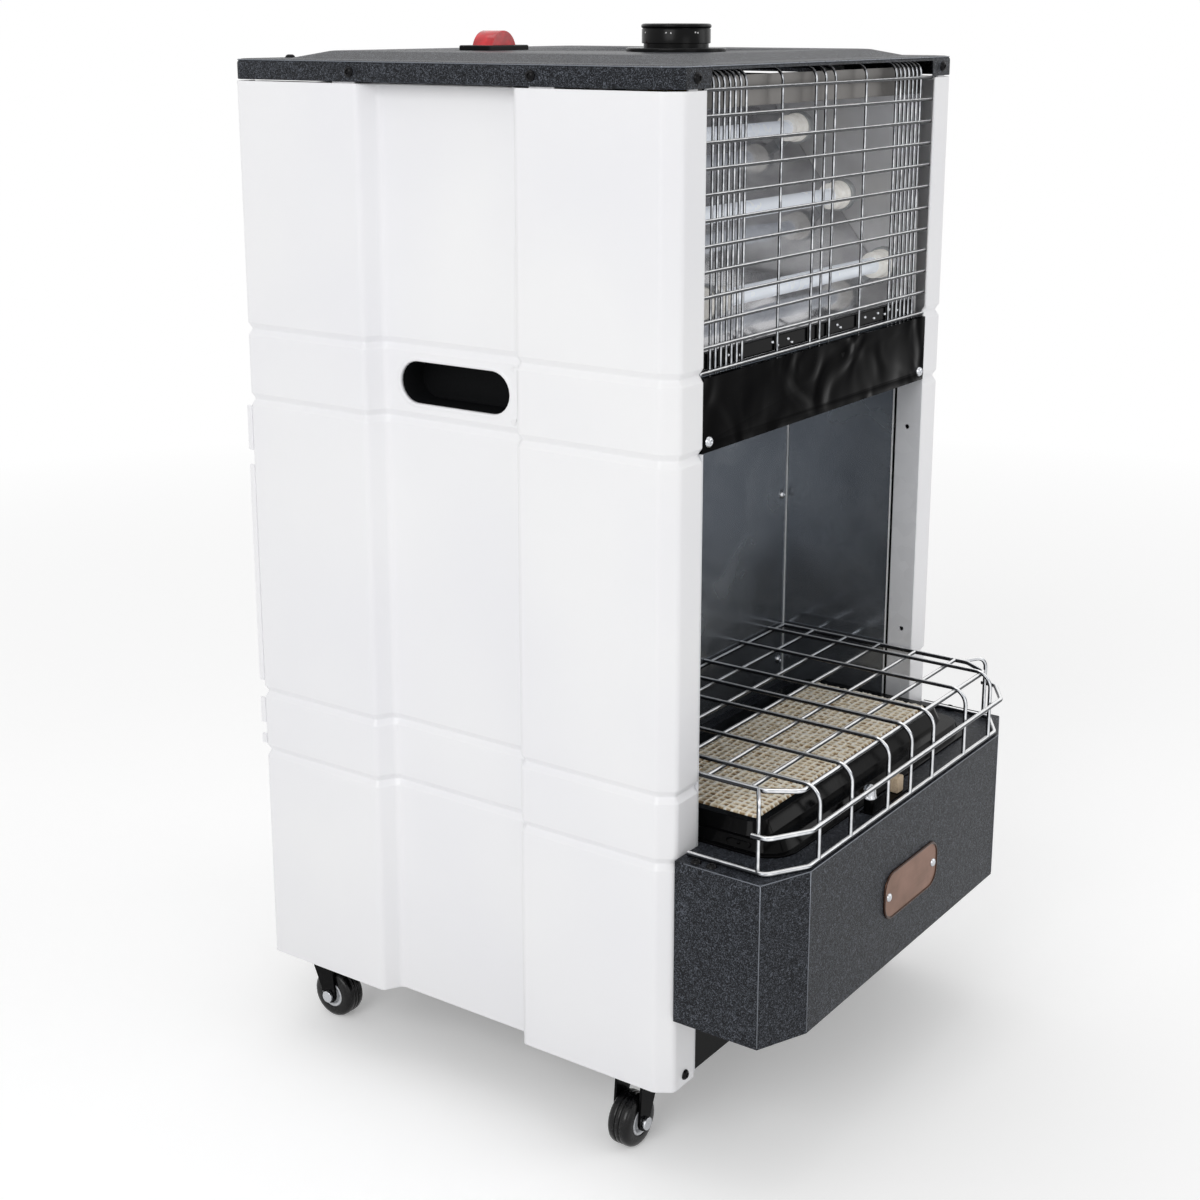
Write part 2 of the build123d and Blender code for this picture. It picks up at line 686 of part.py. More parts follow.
def top_lid():
    lid = prism(lid_plan(0), LID_BOTTOM, LID_TOP) + plateau(0, 0)
    lid -= prism(lid_plan(SHEET), LID_BOTTOM - SHEET, LID_TOP - SHEET) + plateau(SHEET, SHEET)
    notch = LID_TOP - LIP_HEIGHT
    lid -= block(-LUG_INNER, LUG_INNER, FRONT_Y - SHEET, FRONT_Y + 2 * SHEET, LID_BOTTOM - SHEET, notch)
    lid -= Pos(KNOB_X, KNOB_Y, PLATEAU_Z) * Cylinder(SLEEVE_R + 2.0, 4 * SHEET)
    lid -= Pos(SWITCH_X, SWITCH_Y, PLATEAU_Z) * Box(
        SWITCH_BODY_X + FIT_GAP, SWITCH_BODY_Y + FIT_GAP, 4 * SHEET
    )
    for place in lid_screws() + lid_top_screws():
        lid -= screw_hole(*place)
    return lid


def black_screws():
    places = lid_screws() + lid_top_screws() + base_screws() + tray_screws() + rear_screws()
    return Compound([screw(*place).solids()[0] for place in places])


def knob_escutcheon():
    disc = Pos(KNOB_X, KNOB_Y, PLATEAU_Z + ESCUTCHEON_THICK / 2) * Cylinder(
        ESCUTCHEON_R, ESCUTCHEON_THICK
    )
    disc = fillet(disc.edges().filter_by(GeomType.CIRCLE).sort_by(Axis.Z)[-1], 1.0)
    top = PLATEAU_Z + ESCUTCHEON_THICK
    outer = KNOB_R - KNOB_WALL - FIT_GAP
    disc += knob_ring(outer, outer - COLLAR_WALL, top - 1, top + COLLAR_HEIGHT)
    return disc - Pos(KNOB_X, KNOB_Y, PLATEAU_Z) * Cylinder(SLEEVE_R + 1.0, 4 * ESCUTCHEON_THICK)


def knob_ring(outer, inner, z0, z1):
    """A ring round the knob's axis."""
    ring = rod((KNOB_X, KNOB_Y, z0), (KNOB_X, KNOB_Y, z1), outer)
    return ring - rod((KNOB_X, KNOB_Y, z0 - 1), (KNOB_X, KNOB_Y, z1 + 1), inner)


def control_knob():
    knob = Pos(0, 0, KNOB_HEIGHT / 2) * Cylinder(KNOB_R, KNOB_HEIGHT)
    knob = fillet(knob.edges().filter_by(GeomType.CIRCLE).sort_by(Axis.Z)[-1], KNOB_ROUND)
    bore = KNOB_HEIGHT - 3.0
    knob -= Pos(0, 0, bore / 2) * Cylinder(SPINDLE_R + RUN_GAP, bore)
    knob = Pos(KNOB_X, KNOB_Y, KNOB_BOTTOM) * knob
    outer = KNOB_R - KNOB_WALL
    inner = outer - COLLAR_WALL - 2 * FIT_GAP
    return knob - knob_ring(outer, inner, KNOB_BOTTOM - 1, KNOB_BOTTOM + COLLAR_HEIGHT)


def valve_spindle():
    top = KNOB_TOP - 3.0 - FIT_GAP
    return rod((KNOB_X, KNOB_Y, top - SPINDLE_LENGTH), (KNOB_X, KNOB_Y, top), SPINDLE_R)


def sleeve_top():
    return PLATEAU_Z + ESCUTCHEON_THICK + KNOB_PUSH - FIT_GAP


def valve_push_sleeve():
    top = sleeve_top()
    low = top - SLEEVE_LENGTH
    sleeve = rod((KNOB_X, KNOB_Y, low), (KNOB_X, KNOB_Y, top), SLEEVE_R)
    return sleeve - rod((KNOB_X, KNOB_Y, low - 1), (KNOB_X, KNOB_Y, top + 1), SPINDLE_R + RUN_GAP)


def gas_valve():
    body = block(
        KNOB_X - VALVE_LENGTH / 2,
        KNOB_X + VALVE_LENGTH / 2,
        KNOB_Y - VALVE_WIDTH / 2,
        KNOB_Y + VALVE_WIDTH / 2,
        VALVE_BOTTOM,
        VALVE_TOP,
    )
    body = fillet(body.edges().filter_by(Axis.Z), 3.0)
    well = VALVE_BOTTOM + SHEET
    body -= rod((KNOB_X, KNOB_Y, well), (KNOB_X, KNOB_Y, VALVE_TOP + 1), SLEEVE_R + RUN_GAP)
    face_y = KNOB_Y + VALVE_WIDTH / 2
    for side in (-1, 1):
        x = KNOB_X + side * PORT_OFFSET
        body -= rod((x, face_y - 4, PORT_Z), (x, face_y + 1, PORT_Z), PIPE_R + RUN_GAP)
    return body


def burner_pipe_points():
    x = KNOB_X - PORT_OFFSET
    start_y = KNOB_Y + VALVE_WIDTH / 2 - 3.5
    end_y = injector_rear()
    return [
        (x, start_y, PORT_Z),
        (x, BURNER_PIPE_Y, PORT_Z),
        (x, BURNER_PIPE_Y, BURNER_PIPE_Z),
        (x, end_y, BURNER_PIPE_Z),
    ]


def injector_rear():
    """Y of the injector's rear face."""
    return BURNER_Y + PLAQUE_WIDTH / 2 + VENTURI_LENGTH + INJECTOR_LENGTH


def burner_gas_pipe():
    pipe = wire(burner_pipe_points(), PIPE_R, PIPE_BEND)
    x = KNOB_X - PORT_OFFSET
    rear = injector_rear()
    front = rear - INJECTOR_LENGTH + FIT_GAP
    return pipe + rod((x, rear, BURNER_PIPE_Z), (x, front, BURNER_PIPE_Z), INJECTOR_R)


def gas_inlet_pipe():
    x = KNOB_X + PORT_OFFSET
    start_y = KNOB_Y + VALVE_WIDTH / 2 - 3.5
    hex_top = NIPPLE_TOP + HEX_HEIGHT
    pipe = wire([(x, start_y, PORT_Z), (x, INLET_Y, PORT_Z), (x, INLET_Y, NIPPLE_TOP)], PIPE_R, 12.0)
    hexagon = RegularPolygon(HEX_ACROSS / 2, 6, major_radius=False)
    nut = extrude(Pos(x, INLET_Y, NIPPLE_TOP) * hexagon, HEX_HEIGHT)
    nipple = rod((x, INLET_Y, NIPPLE_TOP - NIPPLE_LENGTH), (x, INLET_Y, NIPPLE_TOP), NIPPLE_R)
    bore = rod((x, INLET_Y, NIPPLE_TOP - NIPPLE_LENGTH - 1), (x, INLET_Y, hex_top - 4), PIPE_R - 1)
    return pipe + nut + nipple - bore


def pivot_z():
    return PLATEAU_Z + BEZEL_THICK - PIVOT_DEPTH


def switch_bezel():
    bezel = Pos(0, 0, PLATEAU_Z + BEZEL_THICK / 2) * Box(BEZEL_X, BEZEL_Y, BEZEL_THICK)
    bezel = fillet(bezel.faces().sort_by(Axis.Z)[-1].edges(), 1.0)
    body = Box(SWITCH_BODY_X, SWITCH_BODY_Y, SWITCH_BODY_DEPTH)
    bezel += Pos(0, 0, PLATEAU_Z - SWITCH_BODY_DEPTH / 2) * body
    well_x = 2 * (ROCKER_R + FIT_GAP)
    well_y = ROCKER_WIDTH + 2 * FIT_GAP
    top = PLATEAU_Z + BEZEL_THICK
    floor = pivot_z() - ROCKER_R - 1.0
    bezel -= block(-well_x / 2, well_x / 2, -well_y / 2, well_y / 2, floor, top + 1)
    bezel += rod((0, -well_y / 2 - 1, pivot_z()), (0, well_y / 2 + 1, pivot_z()), ROCKER_PIN_R)
    return Pos(SWITCH_X, SWITCH_Y, 0) * bezel


def switch_rocker():
    z = pivot_z()
    half = ROCKER_WIDTH / 2
    far = 2 * ROCKER_R
    rocker = rod((0, -half, z), (0, half, z), ROCKER_R)
    rocker -= block(-far, far, -ROCKER_WIDTH, ROCKER_WIDTH, z - far, z - ROCKER_UNDERSIDE)
    rocker -= rod((0, -half - 1, z), (0, half + 1, z), ROCKER_PIN_R + AXLE_GAP)
    return Pos(SWITCH_X, SWITCH_Y, 0) * rocker


def grille_columns():
    outer = GRILLE_HALF - GRILLE_GROUP_MARGIN
    group = [outer - k * GRILLE_GROUP_STEP for k in range(GRILLE_GROUP_COUNT)]
    return [-x for x in group] + list(GRILLE_MIDDLE) + group


def upper_grille():
    wires = []
    for row in range(GRILLE_ROWS):
        z = GRILLE_TOP - row * GRILLE_STEP
        wires.append(rod((-GRILLE_HALF, GRILLE_Y, z), (GRILLE_HALF, GRILLE_Y, z), WIRE_R))
    y = GRILLE_Y + WIRE_R + WIRE_THIN_R - WIRE_SINK
    back = y + GRILLE_HOOK_R + GRILLE_HOOK_BACK
    for x in grille_columns():
        points = [(x, y, GRILLE_BOTTOM), (x, y, GRILLE_HOOK_Z), (x, back, GRILLE_HOOK_Z)]
        wires.append(wire(points, WIRE_THIN_R, GRILLE_HOOK_R))
    return joined(wires)


def behind_row(point, distance):
    """A (y, z) point moved square away from the tube row, towards the rear."""
    return (point[0] + BEHIND_DIR[0] * distance, point[1] + BEHIND_DIR[1] * distance)


def reflector_path():
    """The reflector's section as (y, z) points, from its front lip to its top flange."""
    y, z = behind_row(TUBE_ROW[0], REFLECTOR_BEHIND)
    slope = ROW_DIR[0] / ROW_DIR[1]
    foot_y = y - (z - REFLECTOR_BASE_Z) * slope
    top_y = y + (CHAMBER_TOP - z) * slope
    return [
        (foot_y - REFLECTOR_LIP, REFLECTOR_BASE_Z),
        (foot_y, REFLECTOR_BASE_Z),
        (top_y, CHAMBER_TOP),
        (CHAMBER_FRONT, CHAMBER_TOP),
        (CHAMBER_FRONT, CHAMBER_FLANGE),
    ]


def reflector():
    outline = sheet_outline(reflector_path(), LINER_SHEET, -LINER_SHEET)
    return side_prism(outline, -REFLECTOR_HALF, REFLECTOR_HALF)


def reflector_ends():
    path = reflector_path()
    foot = CAVITY_CEILING + FIT_GAP / 3
    outline = [(path[0][0], foot), (path[1][0] + 2, foot), path[2], (path[3][0], path[3][1])]
    return both_sides(side_prism(outline, -END_PLATE_X - LINER_SHEET, -END_PLATE_X))


def quartz_tubes():
    tubes = []
    for y, z in TUBE_ROW:
        half = TUBE_LENGTH / 2
        tube = rod((-half, y, z), (half, y, z), TUBE_R)
        tubes.append(tube - rod((-half - 1, y, z), (half + 1, y, z), TUBE_R - TUBE_WALL))
    return Compound([tube.solids()[0] for tube in tubes])


def heating_elements():
    half = TUBE_LENGTH / 2
    return Compound([rod((-half, y, z), (half, y, z), ELEMENT_R).solids()[0] for y, z in TUBE_ROW])


def tube_end_caps():
    caps = []
    inner = CAP_OUTER_X - CAP_LENGTH
    floor = TUBE_LENGTH / 2 + RUN_GAP
    for side in (-1, 1):
        for y, z in TUBE_ROW:
            cap = rod((side * inner, y, z), (side * CAP_OUTER_X, y, z), CAP_R)
            cap -= rod((side * (inner - 1), y, z), (side * floor, y, z), TUBE_R + RUN_GAP)
            caps.append(cap.solids()[0])
    return Compound(caps)


def heater_terminals():
    tabs = []
    for side in (-1, 1):
        for y, z in TUBE_ROW:
            near = side * (CAP_OUTER_X + RUN_GAP)
            far = side * (CAP_OUTER_X + TERMINAL_LENGTH)
            half = TERMINAL_WIDTH / 2
            tabs.append(block(near, far, y - half, y + half, z, z + TERMINAL_THICK).solids()[0])
    return Compound(tabs)


def tube_clips():
    clips = []
    ring_r = CAP_R + FIT_GAP / 3
    reach = REFLECTOR_BEHIND - FIT_GAP / 3
    middle = CAP_OUTER_X - CAP_WEB
    for side in (-1, 1):
        for y, z in TUBE_ROW:
            near = side * (middle - CLIP_WIDTH / 2)
            far = side * (middle + CLIP_WIDTH / 2)
            ring = rod((near, y, z), (far, y, z), ring_r + CLIP_THICK)
            plane = Plane(origin=(side * middle, y, z), x_dir=(1, 0, 0), z_dir=(0, *BEHIND_DIR))
            stem = extrude(plane * Rectangle(CLIP_WIDTH, CLIP_STEM), reach)
            clip = ring + stem - rod((near - side, y, z), (far + side, y, z), ring_r)
            clips.append(clip.solids()[0])
    return Compound(clips)


def front_fascia():
    half = OPENING_HALF - FIT_GAP
    front = FRONT_Y
    fascia = block(-half, half, front, front + FASCIA_THICK, FASCIA_BOTTOM, FASCIA_TOP)
    rear = front + FASCIA_DEPTH
    fascia += block(-half, half, front, rear, FASCIA_BOTTOM, FASCIA_BOTTOM + FASCIA_THICK)
    fascia += block(-half, half, front, rear, FASCIA_TOP - FASCIA_THICK, FASCIA_TOP)
    for place in fascia_screws():
        fascia -= screw_hole(*place)
    return fascia


def fascia_screws():
    return [(side * FASCIA_SCREW_X, FRONT_Y, FASCIA_SCREW_Z, (0, -1, 0)) for side in (-1, 1)]


def wall_screws():
    return [
        (side * WALL_SCREW_X, CAVITY_BACK - LINER_SHEET, z, (0, -1, 0))
        for side in (-1, 1)
        for z in WALL_SCREW_HEIGHTS
    ]


def chrome_screws():
    screws = [screw(*place, 2 * SHANK_LENGTH) for place in fascia_screws()]
    screws += [screw(*place) for place in wall_screws()]
    return Compound([item.solids()[0] for item in screws])


def cavity_liner():
    path = [
        (CAVITY_BACK, BASE_TOP + FIT_GAP),
        (CAVITY_BACK, CAVITY_CEILING),
        (CEILING_FRONT, CAVITY_CEILING),
    ]
    liner = side_prism(sheet_outline(path, LINER_SHEET), -LINER_HALF, LINER_HALF)
    for place in wall_screws():
        liner -= screw_hole(*place)
    x = KNOB_X - PORT_OFFSET
    y = CAVITY_BACK
    return liner - rod((x, y - 5, BURNER_PIPE_Z), (x, y + 5, BURNER_PIPE_Z), PIPE_R + 1)


def cavity_side_walls():
    near = OPENING_HALF
    front = RAIL_REAR
    bottom = BASE_TOP + FIT_GAP
    return both_sides(block(near, near + LINER_SHEET, front, CAVITY_BACK, bottom, CAVITY_CEILING))


def front_rails():
    outer = RAIL_INNER + RAIL_THICK
    bottom = BASE_TOP + FIT_GAP
    leg_back = RAIL_LEG_Y + RAIL_THICK
    rail = block(RAIL_INNER, outer, FRONT_Y, RAIL_REAR, bottom, RAIL_TOP)
    rail += block(RAIL_INNER, outer + RAIL_LEG_REACH, RAIL_LEG_Y, leg_back, bottom + SHEET, FASCIA_TAB_TOP)
    rail += block(FASCIA_SCREW_X - 6, outer, RAIL_LEG_Y, leg_back, FASCIA_BOTTOM, FASCIA_TAB_TOP)
    for setback, z in RAIL_HOLES:
        y = FRONT_Y + setback
        rail -= rod((RAIL_INNER - 1, y, z), (outer + 1, y, z), RAIL_HOLE_R)
    for place in (fascia_screws()[1], base_screws()[1]):
        rail -= screw_hole(*place, 2 * SHANK_LENGTH)
    return both_sides(rail)


def tray_rear():
    return FRONT_Y - TRAY_SEAT


def tray_path():
    """The tray's outer wall in plan, from its left rear edge round the front."""
    return [
        (-TRAY_HALF, tray_rear()),
        (-TRAY_HALF, TRAY_FRONT + TRAY_CORNER_Y),
        (TRAY_CORNER_X - TRAY_HALF, TRAY_FRONT),
        (TRAY_HALF - TRAY_CORNER_X, TRAY_FRONT),
        (TRAY_HALF, TRAY_FRONT + TRAY_CORNER_Y),
        (TRAY_HALF, tray_rear()),
    ]


def tray_shell():
    shell = prism(sheet_outline(tray_path(), SHEET), TRAY_BOTTOM, FLANGE_UNDER)
    shell += prism(tray_path(), TRAY_BOTTOM, TRAY_BOTTOM + SHEET)
    rear = tray_rear()
    for side in (-1, 1):
        shell += block(
            side * (TRAY_HALF - TRAY_LUG), side * TRAY_HALF, rear - SHEET, rear, TRAY_BOTTOM, FLANGE_UNDER
        )
    for x, y, _, _ in tray_screws():
        tab_x = math.copysign(TRAY_HALF - SHEET / 2, x)
        near = x - math.copysign(SCREW_R, x)
        shell += block(near, tab_x, y - SCREW_R, y + SCREW_R, FLANGE_UNDER - 2 * SHEET, FLANGE_UNDER)
    for place in tray_screws():
        shell -= screw_hole(*place, 2 * SHANK_LENGTH)
    for side in (-1, 1):
        x = PLATE_X + side * RIVET_SPREAD
        shell -= rod((x, TRAY_FRONT - 1, PLATE_Z), (x, TRAY_FRONT + 3, PLATE_Z), SHANK_R + HOLE_GAP)
    return shell


def tray_flange():
    flange = prism(tray_path(), FLANGE_UNDER, TRAY_TOP)
    inner = RAIL_INNER - FIT_GAP
    back = CAVITY_BACK - LINER_SHEET - FIT_GAP
    flange += block(-inner, inner, tray_rear() - 1, back, FLANGE_UNDER, TRAY_TOP)
    depth = TRAY_WINDOW_REAR - TRAY_WINDOW_FRONT
    middle = (TRAY_WINDOW_REAR + TRAY_WINDOW_FRONT) / 2
    window = rounded(TRAY_WINDOW_X, depth / 2, TRAY_WINDOW_R, middle, FLANGE_UNDER - 1)
    flange -= extrude(window, 3 * SHEET)
    for place in tray_screws():
        flange -= screw_hole(*place)
    return flange


def ridge(half_x, half_y, radius, z0, z1, grow=0.0):
    """A pressed step of the burner pan, narrowing upwards."""
    low = rounded(half_x + grow, half_y + grow, radius + grow, BURNER_Y, z0)
    top_x = half_x + grow - RIDGE_DRAFT
    top_y = half_y + grow - RIDGE_DRAFT
    high = rounded(top_x, top_y, radius + grow - RIDGE_DRAFT, BURNER_Y, z1)
    return loft([low, high], ruled=True)


def plaque_half_x():
    return (PLAQUE_COUNT * PLAQUE_LENGTH + (PLAQUE_COUNT - 1) * PLAQUE_GAP) / 2


def burner_housing():
    wall = PAN_SHEET
    rim_top = TRAY_TOP + PAN_SHEET
    high_x = RIDGE_HIGH_X
    high_y = RIDGE_HIGH_Y
    pan = extrude(rounded(PAN_X, PAN_Y, PAN_R, BURNER_Y, TRAY_TOP), wall)
    pan += ridge(RIDGE_LOW_X, RIDGE_LOW_Y, PAN_R - 4, TRAY_TOP, RIDGE_LOW_Z)
    pan += ridge(high_x, high_y, PAN_R - 10, rim_top, RIDGE_HIGH_Z)
    pan -= ridge(RIDGE_LOW_X, RIDGE_LOW_Y, PAN_R - 4, TRAY_TOP - wall, RIDGE_LOW_Z - wall, -wall)
    pan -= ridge(high_x, high_y, PAN_R - 10, rim_top - wall, RIDGE_HIGH_Z - wall, -wall)
    window_x = 2 * (plaque_half_x() - WINDOW_LAP)
    window_y = PLAQUE_WIDTH - 2 * WINDOW_LAP
    return pan - Pos(0, BURNER_Y, RIDGE_HIGH_Z) * Box(window_x, window_y, 4 * wall)


def burner_plaques():
    plaques = []
    pitch = PLAQUE_LENGTH + PLAQUE_GAP
    for index in range(PLAQUE_COUNT):
        x = (index - (PLAQUE_COUNT - 1) / 2) * pitch
        top = RIDGE_HIGH_Z - PAN_SHEET - FIT_GAP / 3
        tile = block(
            x - PLAQUE_LENGTH / 2,
            x + PLAQUE_LENGTH / 2,
            BURNER_Y - PLAQUE_WIDTH / 2,
            BURNER_Y + PLAQUE_WIDTH / 2,
            top - PLAQUE_THICK,
            top,
        )
        plaques.append(tile.solids()[0])
    return Compound(plaques)


def burner_plenum():
    half_x = plaque_half_x()
    half_y = PLAQUE_WIDTH / 2
    top = RIDGE_HIGH_Z - PAN_SHEET - FIT_GAP / 3 - PLAQUE_THICK - FIT_GAP / 3
    wall = 2 * PAN_SHEET
    front = BURNER_Y - half_y
    rear = BURNER_Y + half_y
    plenum = block(-half_x, half_x, front, rear, PLENUM_BOTTOM, top)
    plenum -= block(
        -half_x + wall, half_x - wall, front + wall, rear - wall, PLENUM_BOTTOM + wall, top + 1
    )
    x = KNOB_X - PORT_OFFSET
    z = BURNER_PIPE_Z + VENTURI_RISE
    plenum += rod((x, rear - wall, z), (x, rear + VENTURI_LENGTH, z), VENTURI_R)
    return plenum - rod((x, rear - 2 * wall, z), (x, rear + VENTURI_LENGTH + 1, z), VENTURI_R - 2)


def pilot_burner():
    top = TRAY_TOP + BRACKET_THICK
    left = PILOT_X - BRACKET_WIDTH / 2
    bracket = block(
        left,
        left + BRACKET_LENGTH,
        PILOT_Y - BRACKET_WIDTH / 2,
        PILOT_Y + BRACKET_WIDTH / 2 - 1,
        TRAY_TOP,
        top,
    )
    stem = rod((PILOT_X, PILOT_Y, top - 0.5), (PILOT_X, PILOT_Y, PILOT_TOP - PILOT_R), PILOT_R * 0.7)
    cap = Pos(PILOT_X, PILOT_Y, PILOT_TOP - PILOT_R) * Sphere(PILOT_R)
    return bracket + stem + cap


def spark_electrode():
    width, depth, height = ELECTRODE_SIZE
    bottom = TRAY_TOP + BRACKET_THICK
    top = bottom + height
    tip = top + ELECTRODE_PIN
    body = block(
        ELECTRODE_X - width / 2,
        ELECTRODE_X + width / 2,
        PILOT_Y - depth / 2,
        PILOT_Y + depth / 2,
        bottom,
        top,
    )
    return body + rod((ELECTRODE_X, PILOT_Y, top - 1), (ELECTRODE_X, PILOT_Y, tip), ELECTRODE_PIN_R)


def guard_rail(half_x, front, corner, rear, z):
    """The points of one guard rail, from its left rear end round the front."""
    return [
        (-half_x, rear, z),
        (-half_x, front + corner[1], z),
        (corner[0] - half_x, front, z),
        (half_x - corner[0], front, z),
        (half_x, front + corner[1], z),
        (half_x, rear, z),
    ]


def wire_guard():
    base_z = TRAY_TOP + GUARD_R + FIT_GAP / 3
    reach = GUARD_R + GUARD_FIELD_R - GUARD_SINK
    top_front = GUARD_FRONT + GUARD_TOP_SETBACK
    post_y = GUARD_FRONT + GUARD_BASE_CORNER[1] + GUARD_POST_SHIFT
    post_top_y = top_front + GUARD_TOP_CORNER[1] + GUARD_POST_SHIFT
    middle_rear = post_y + 2 * GUARD_R
    rails = [
        guard_rail(GUARD_BASE_X, GUARD_FRONT, GUARD_BASE_CORNER, GUARD_BASE_REAR, base_z),
        guard_rail(GUARD_BASE_X + reach, GUARD_FRONT - reach, GUARD_BASE_CORNER, middle_rear, GUARD_MID),
        guard_rail(GUARD_TOP_X, top_front, GUARD_TOP_CORNER, GUARD_REAR, GUARD_TOP),
    ]
    wires = [wire(rail, GUARD_R, GUARD_CORNER_BEND) for rail in rails]
    for y in GUARD_CROSS:
        wires.append(rod((-GUARD_TOP_X, y, GUARD_TOP), (GUARD_TOP_X, y, GUARD_TOP), GUARD_FIELD_R))
    upper = GUARD_TOP + 2 * GUARD_FIELD_R - GUARD_SINK
    for x in GUARD_LONG:
        points = [(x, GUARD_REAR, upper), (x, GUARD_FRONT, upper), (x, GUARD_FRONT, base_z)]
        wires.append(wire(points, GUARD_FIELD_R, GUARD_BEND))
    for side in (-1, 1):
        points = [
            (side * GUARD_BASE_X, post_y, base_z),
            (side * GUARD_BASE_X, post_y, GUARD_TOP),
            (side * GUARD_TOP_X, post_top_y, GUARD_TOP),
        ]
        wires.append(wire(points, GUARD_FIELD_R, GUARD_CORNER_BEND))
    return joined(wires)


def nameplate():
    plane = Plane(origin=(PLATE_X, TRAY_FRONT, PLATE_Z), x_dir=(1, 0, 0), z_dir=(0, -1, 0))
    plate = extrude(plane * RectangleRounded(PLATE_LENGTH, PLATE_HEIGHT, PLATE_R), PLATE_THICK)
    for side in (-1, 1):
        x = PLATE_X + side * RIVET_SPREAD
        plate -= rod((x, NAMEPLATE_FACE - 1, PLATE_Z), (x, TRAY_FRONT + 1, PLATE_Z), SHANK_R + HOLE_GAP)
    return plate


def nameplate_rivets():
    rivets = []
    for side in (-1, 1):
        x = PLATE_X + side * RIVET_SPREAD
        plane = Plane(origin=(x, NAMEPLATE_FACE, PLATE_Z), z_dir=(0, -1, 0))
        head = extrude(plane * Circle(RIVET_R), RIVET_HEAD)
        head = fillet(head.faces().sort_by(Axis.Y)[0].edges(), RIVET_HEAD * 0.6)
        shank = rod((x, NAMEPLATE_FACE, PLATE_Z), (x, TRAY_FRONT + 2.5, PLATE_Z), SHANK_R)
        rivets.append((head + shank).solids()[0])
    return Compound(rivets)


def base_pan():
    pan = block(-BASE_HALF_X, BASE_HALF_X, BASE_FRONT, BASE_REAR, BASE_UNDER, BASE_TOP)
    rim_top = BASE_UNDER + BASE_RIM
    rim_front = FRONT_Y + BASE_RIM_SETBACK
    for side in (-1, 1):
        outer = side * BASE_HALF_X
        pan += block(outer - side * SHEET, outer, rim_front, BASE_REAR, BASE_UNDER, rim_top)
    pan += block(-BASE_HALF_X, BASE_HALF_X, BASE_REAR - SHEET, BASE_REAR, BASE_UNDER, rim_top)
    reach = RAIL_INNER - FIT_GAP
    pan += block(-reach, reach, BASE_FRONT, BASE_FRONT + SHEET, BASE_UNDER, BASE_FRONT_TOP)
    for x in vent_places():
        pan -= rod((x, INLET_Y, BASE_UNDER - 1), (x, INLET_Y, BASE_TOP + 1), VENT_R)
    return pan


def vent_places():
    """X of the base's round vents, the middle one straight under the gas inlet."""
    return [KNOB_X + PORT_OFFSET + step * VENT_STEP for step in (-1, 0, 1)]


def rear_cover():
    cover = block(-REAR_PLATE_X, REAR_PLATE_X, REAR_PLATE_Y, LEAF_TOP_Y, COVER_BOTTOM, COVER_TOP)
    for row in range(LOUVRE_ROWS):
        z = LOUVRE_BOTTOM + row * LOUVRE_STEP
        for side in (-1, 1):
            x = side * (LOUVRE_LENGTH + LOUVRE_SPLIT) / 2
            cover -= Pos(x, REAR_PLATE_Y, z) * Box(LOUVRE_LENGTH, 4 * REAR_THICK, LOUVRE_HEIGHT)
    for place in rear_screws():
        cover -= screw_hole(*place)
    return cover


def knuckle(z0, z1):
    return rod((HINGE_X, HINGE_Y, z0), (HINGE_X, HINGE_Y, z1), KNUCKLE_R)


def bottle_door():
    door = block(-REAR_PLATE_X, DOOR_EDGE_X, REAR_PLATE_Y, LEAF_TOP_Y, DOOR_BOTTOM, DOOR_TOP)
    for z in HINGE_HEIGHTS:
        low = z - KNUCKLE_LENGTH / 2
        high = z + KNUCKLE_LENGTH / 2
        door += block(DOOR_EDGE_X - 5, HINGE_X, LEAF_TOP_Y - KNUCKLE_SINK, LEAF_TOP_Y + SHEET, low, high)
        door += knuckle(low, high)
        door -= rod((HINGE_X, HINGE_Y, low - 1), (HINGE_X, HINGE_Y, high + 1), HINGE_PIN_R + AXLE_GAP)
    far = LEAF_TOP_Y + PULL_REACH
    half = PULL_HEIGHT / 2
    door += block(PULL_X, PULL_X + SHEET, LEAF_TOP_Y - 0.5, far, PULL_Z - half, PULL_Z + half)
    return door


def door_hinges():
    hinges = []
    for z in HINGE_HEIGHTS:
        reach = KNUCKLE_LENGTH * 1.5 + KNUCKLE_GAP
        inner = KNUCKLE_LENGTH / 2 + KNUCKLE_GAP
        far = HINGE_X + LEAF_REACH
        leaf = block(HINGE_X - 1, far, REAR_PLATE_Y - REAR_GAP, LEAF_TOP_Y, z - reach, z + reach)
        leaf -= block(
            HINGE_X - 2, HINGE_X + KNUCKLE_R + 1, REAR_PLATE_Y - 1, LEAF_TOP_Y + 1, z - inner, z + inner
        )
        leaf += knuckle(z - reach, z - inner)
        leaf += knuckle(z + inner, z + reach)
        leaf += rod((HINGE_X, HINGE_Y, z - reach), (HINGE_X, HINGE_Y, z + reach), HINGE_PIN_R)
        hinges.append(leaf.solids()[0])
    return Compound(hinges)


def door_catch():
    """A magnetic catch behind the left rear return, facing the door's edge."""
    edge = REAR_RETURN - SIDE_X
    face = REAR_Y - SHEET - FIT_GAP / 3
    low = CATCH_Z
    high = CATCH_Z + CATCH_HEIGHT
    catch = block(edge - CATCH_WIDTH, edge + CATCH_WIDTH, face - CATCH_DEPTH, face, low, high)
    return catch + block(edge + FIT_GAP, edge + CATCH_WIDTH, face - 1, REAR_Y, low, high)


def caster_place(name, shape):
    """A caster piece, drawn with its swivel axis at the origin, put in its place."""
    x, y, turn = CASTERS[name]
    return Pos(x, y, 0) * Rot(0, 0, turn) * shape


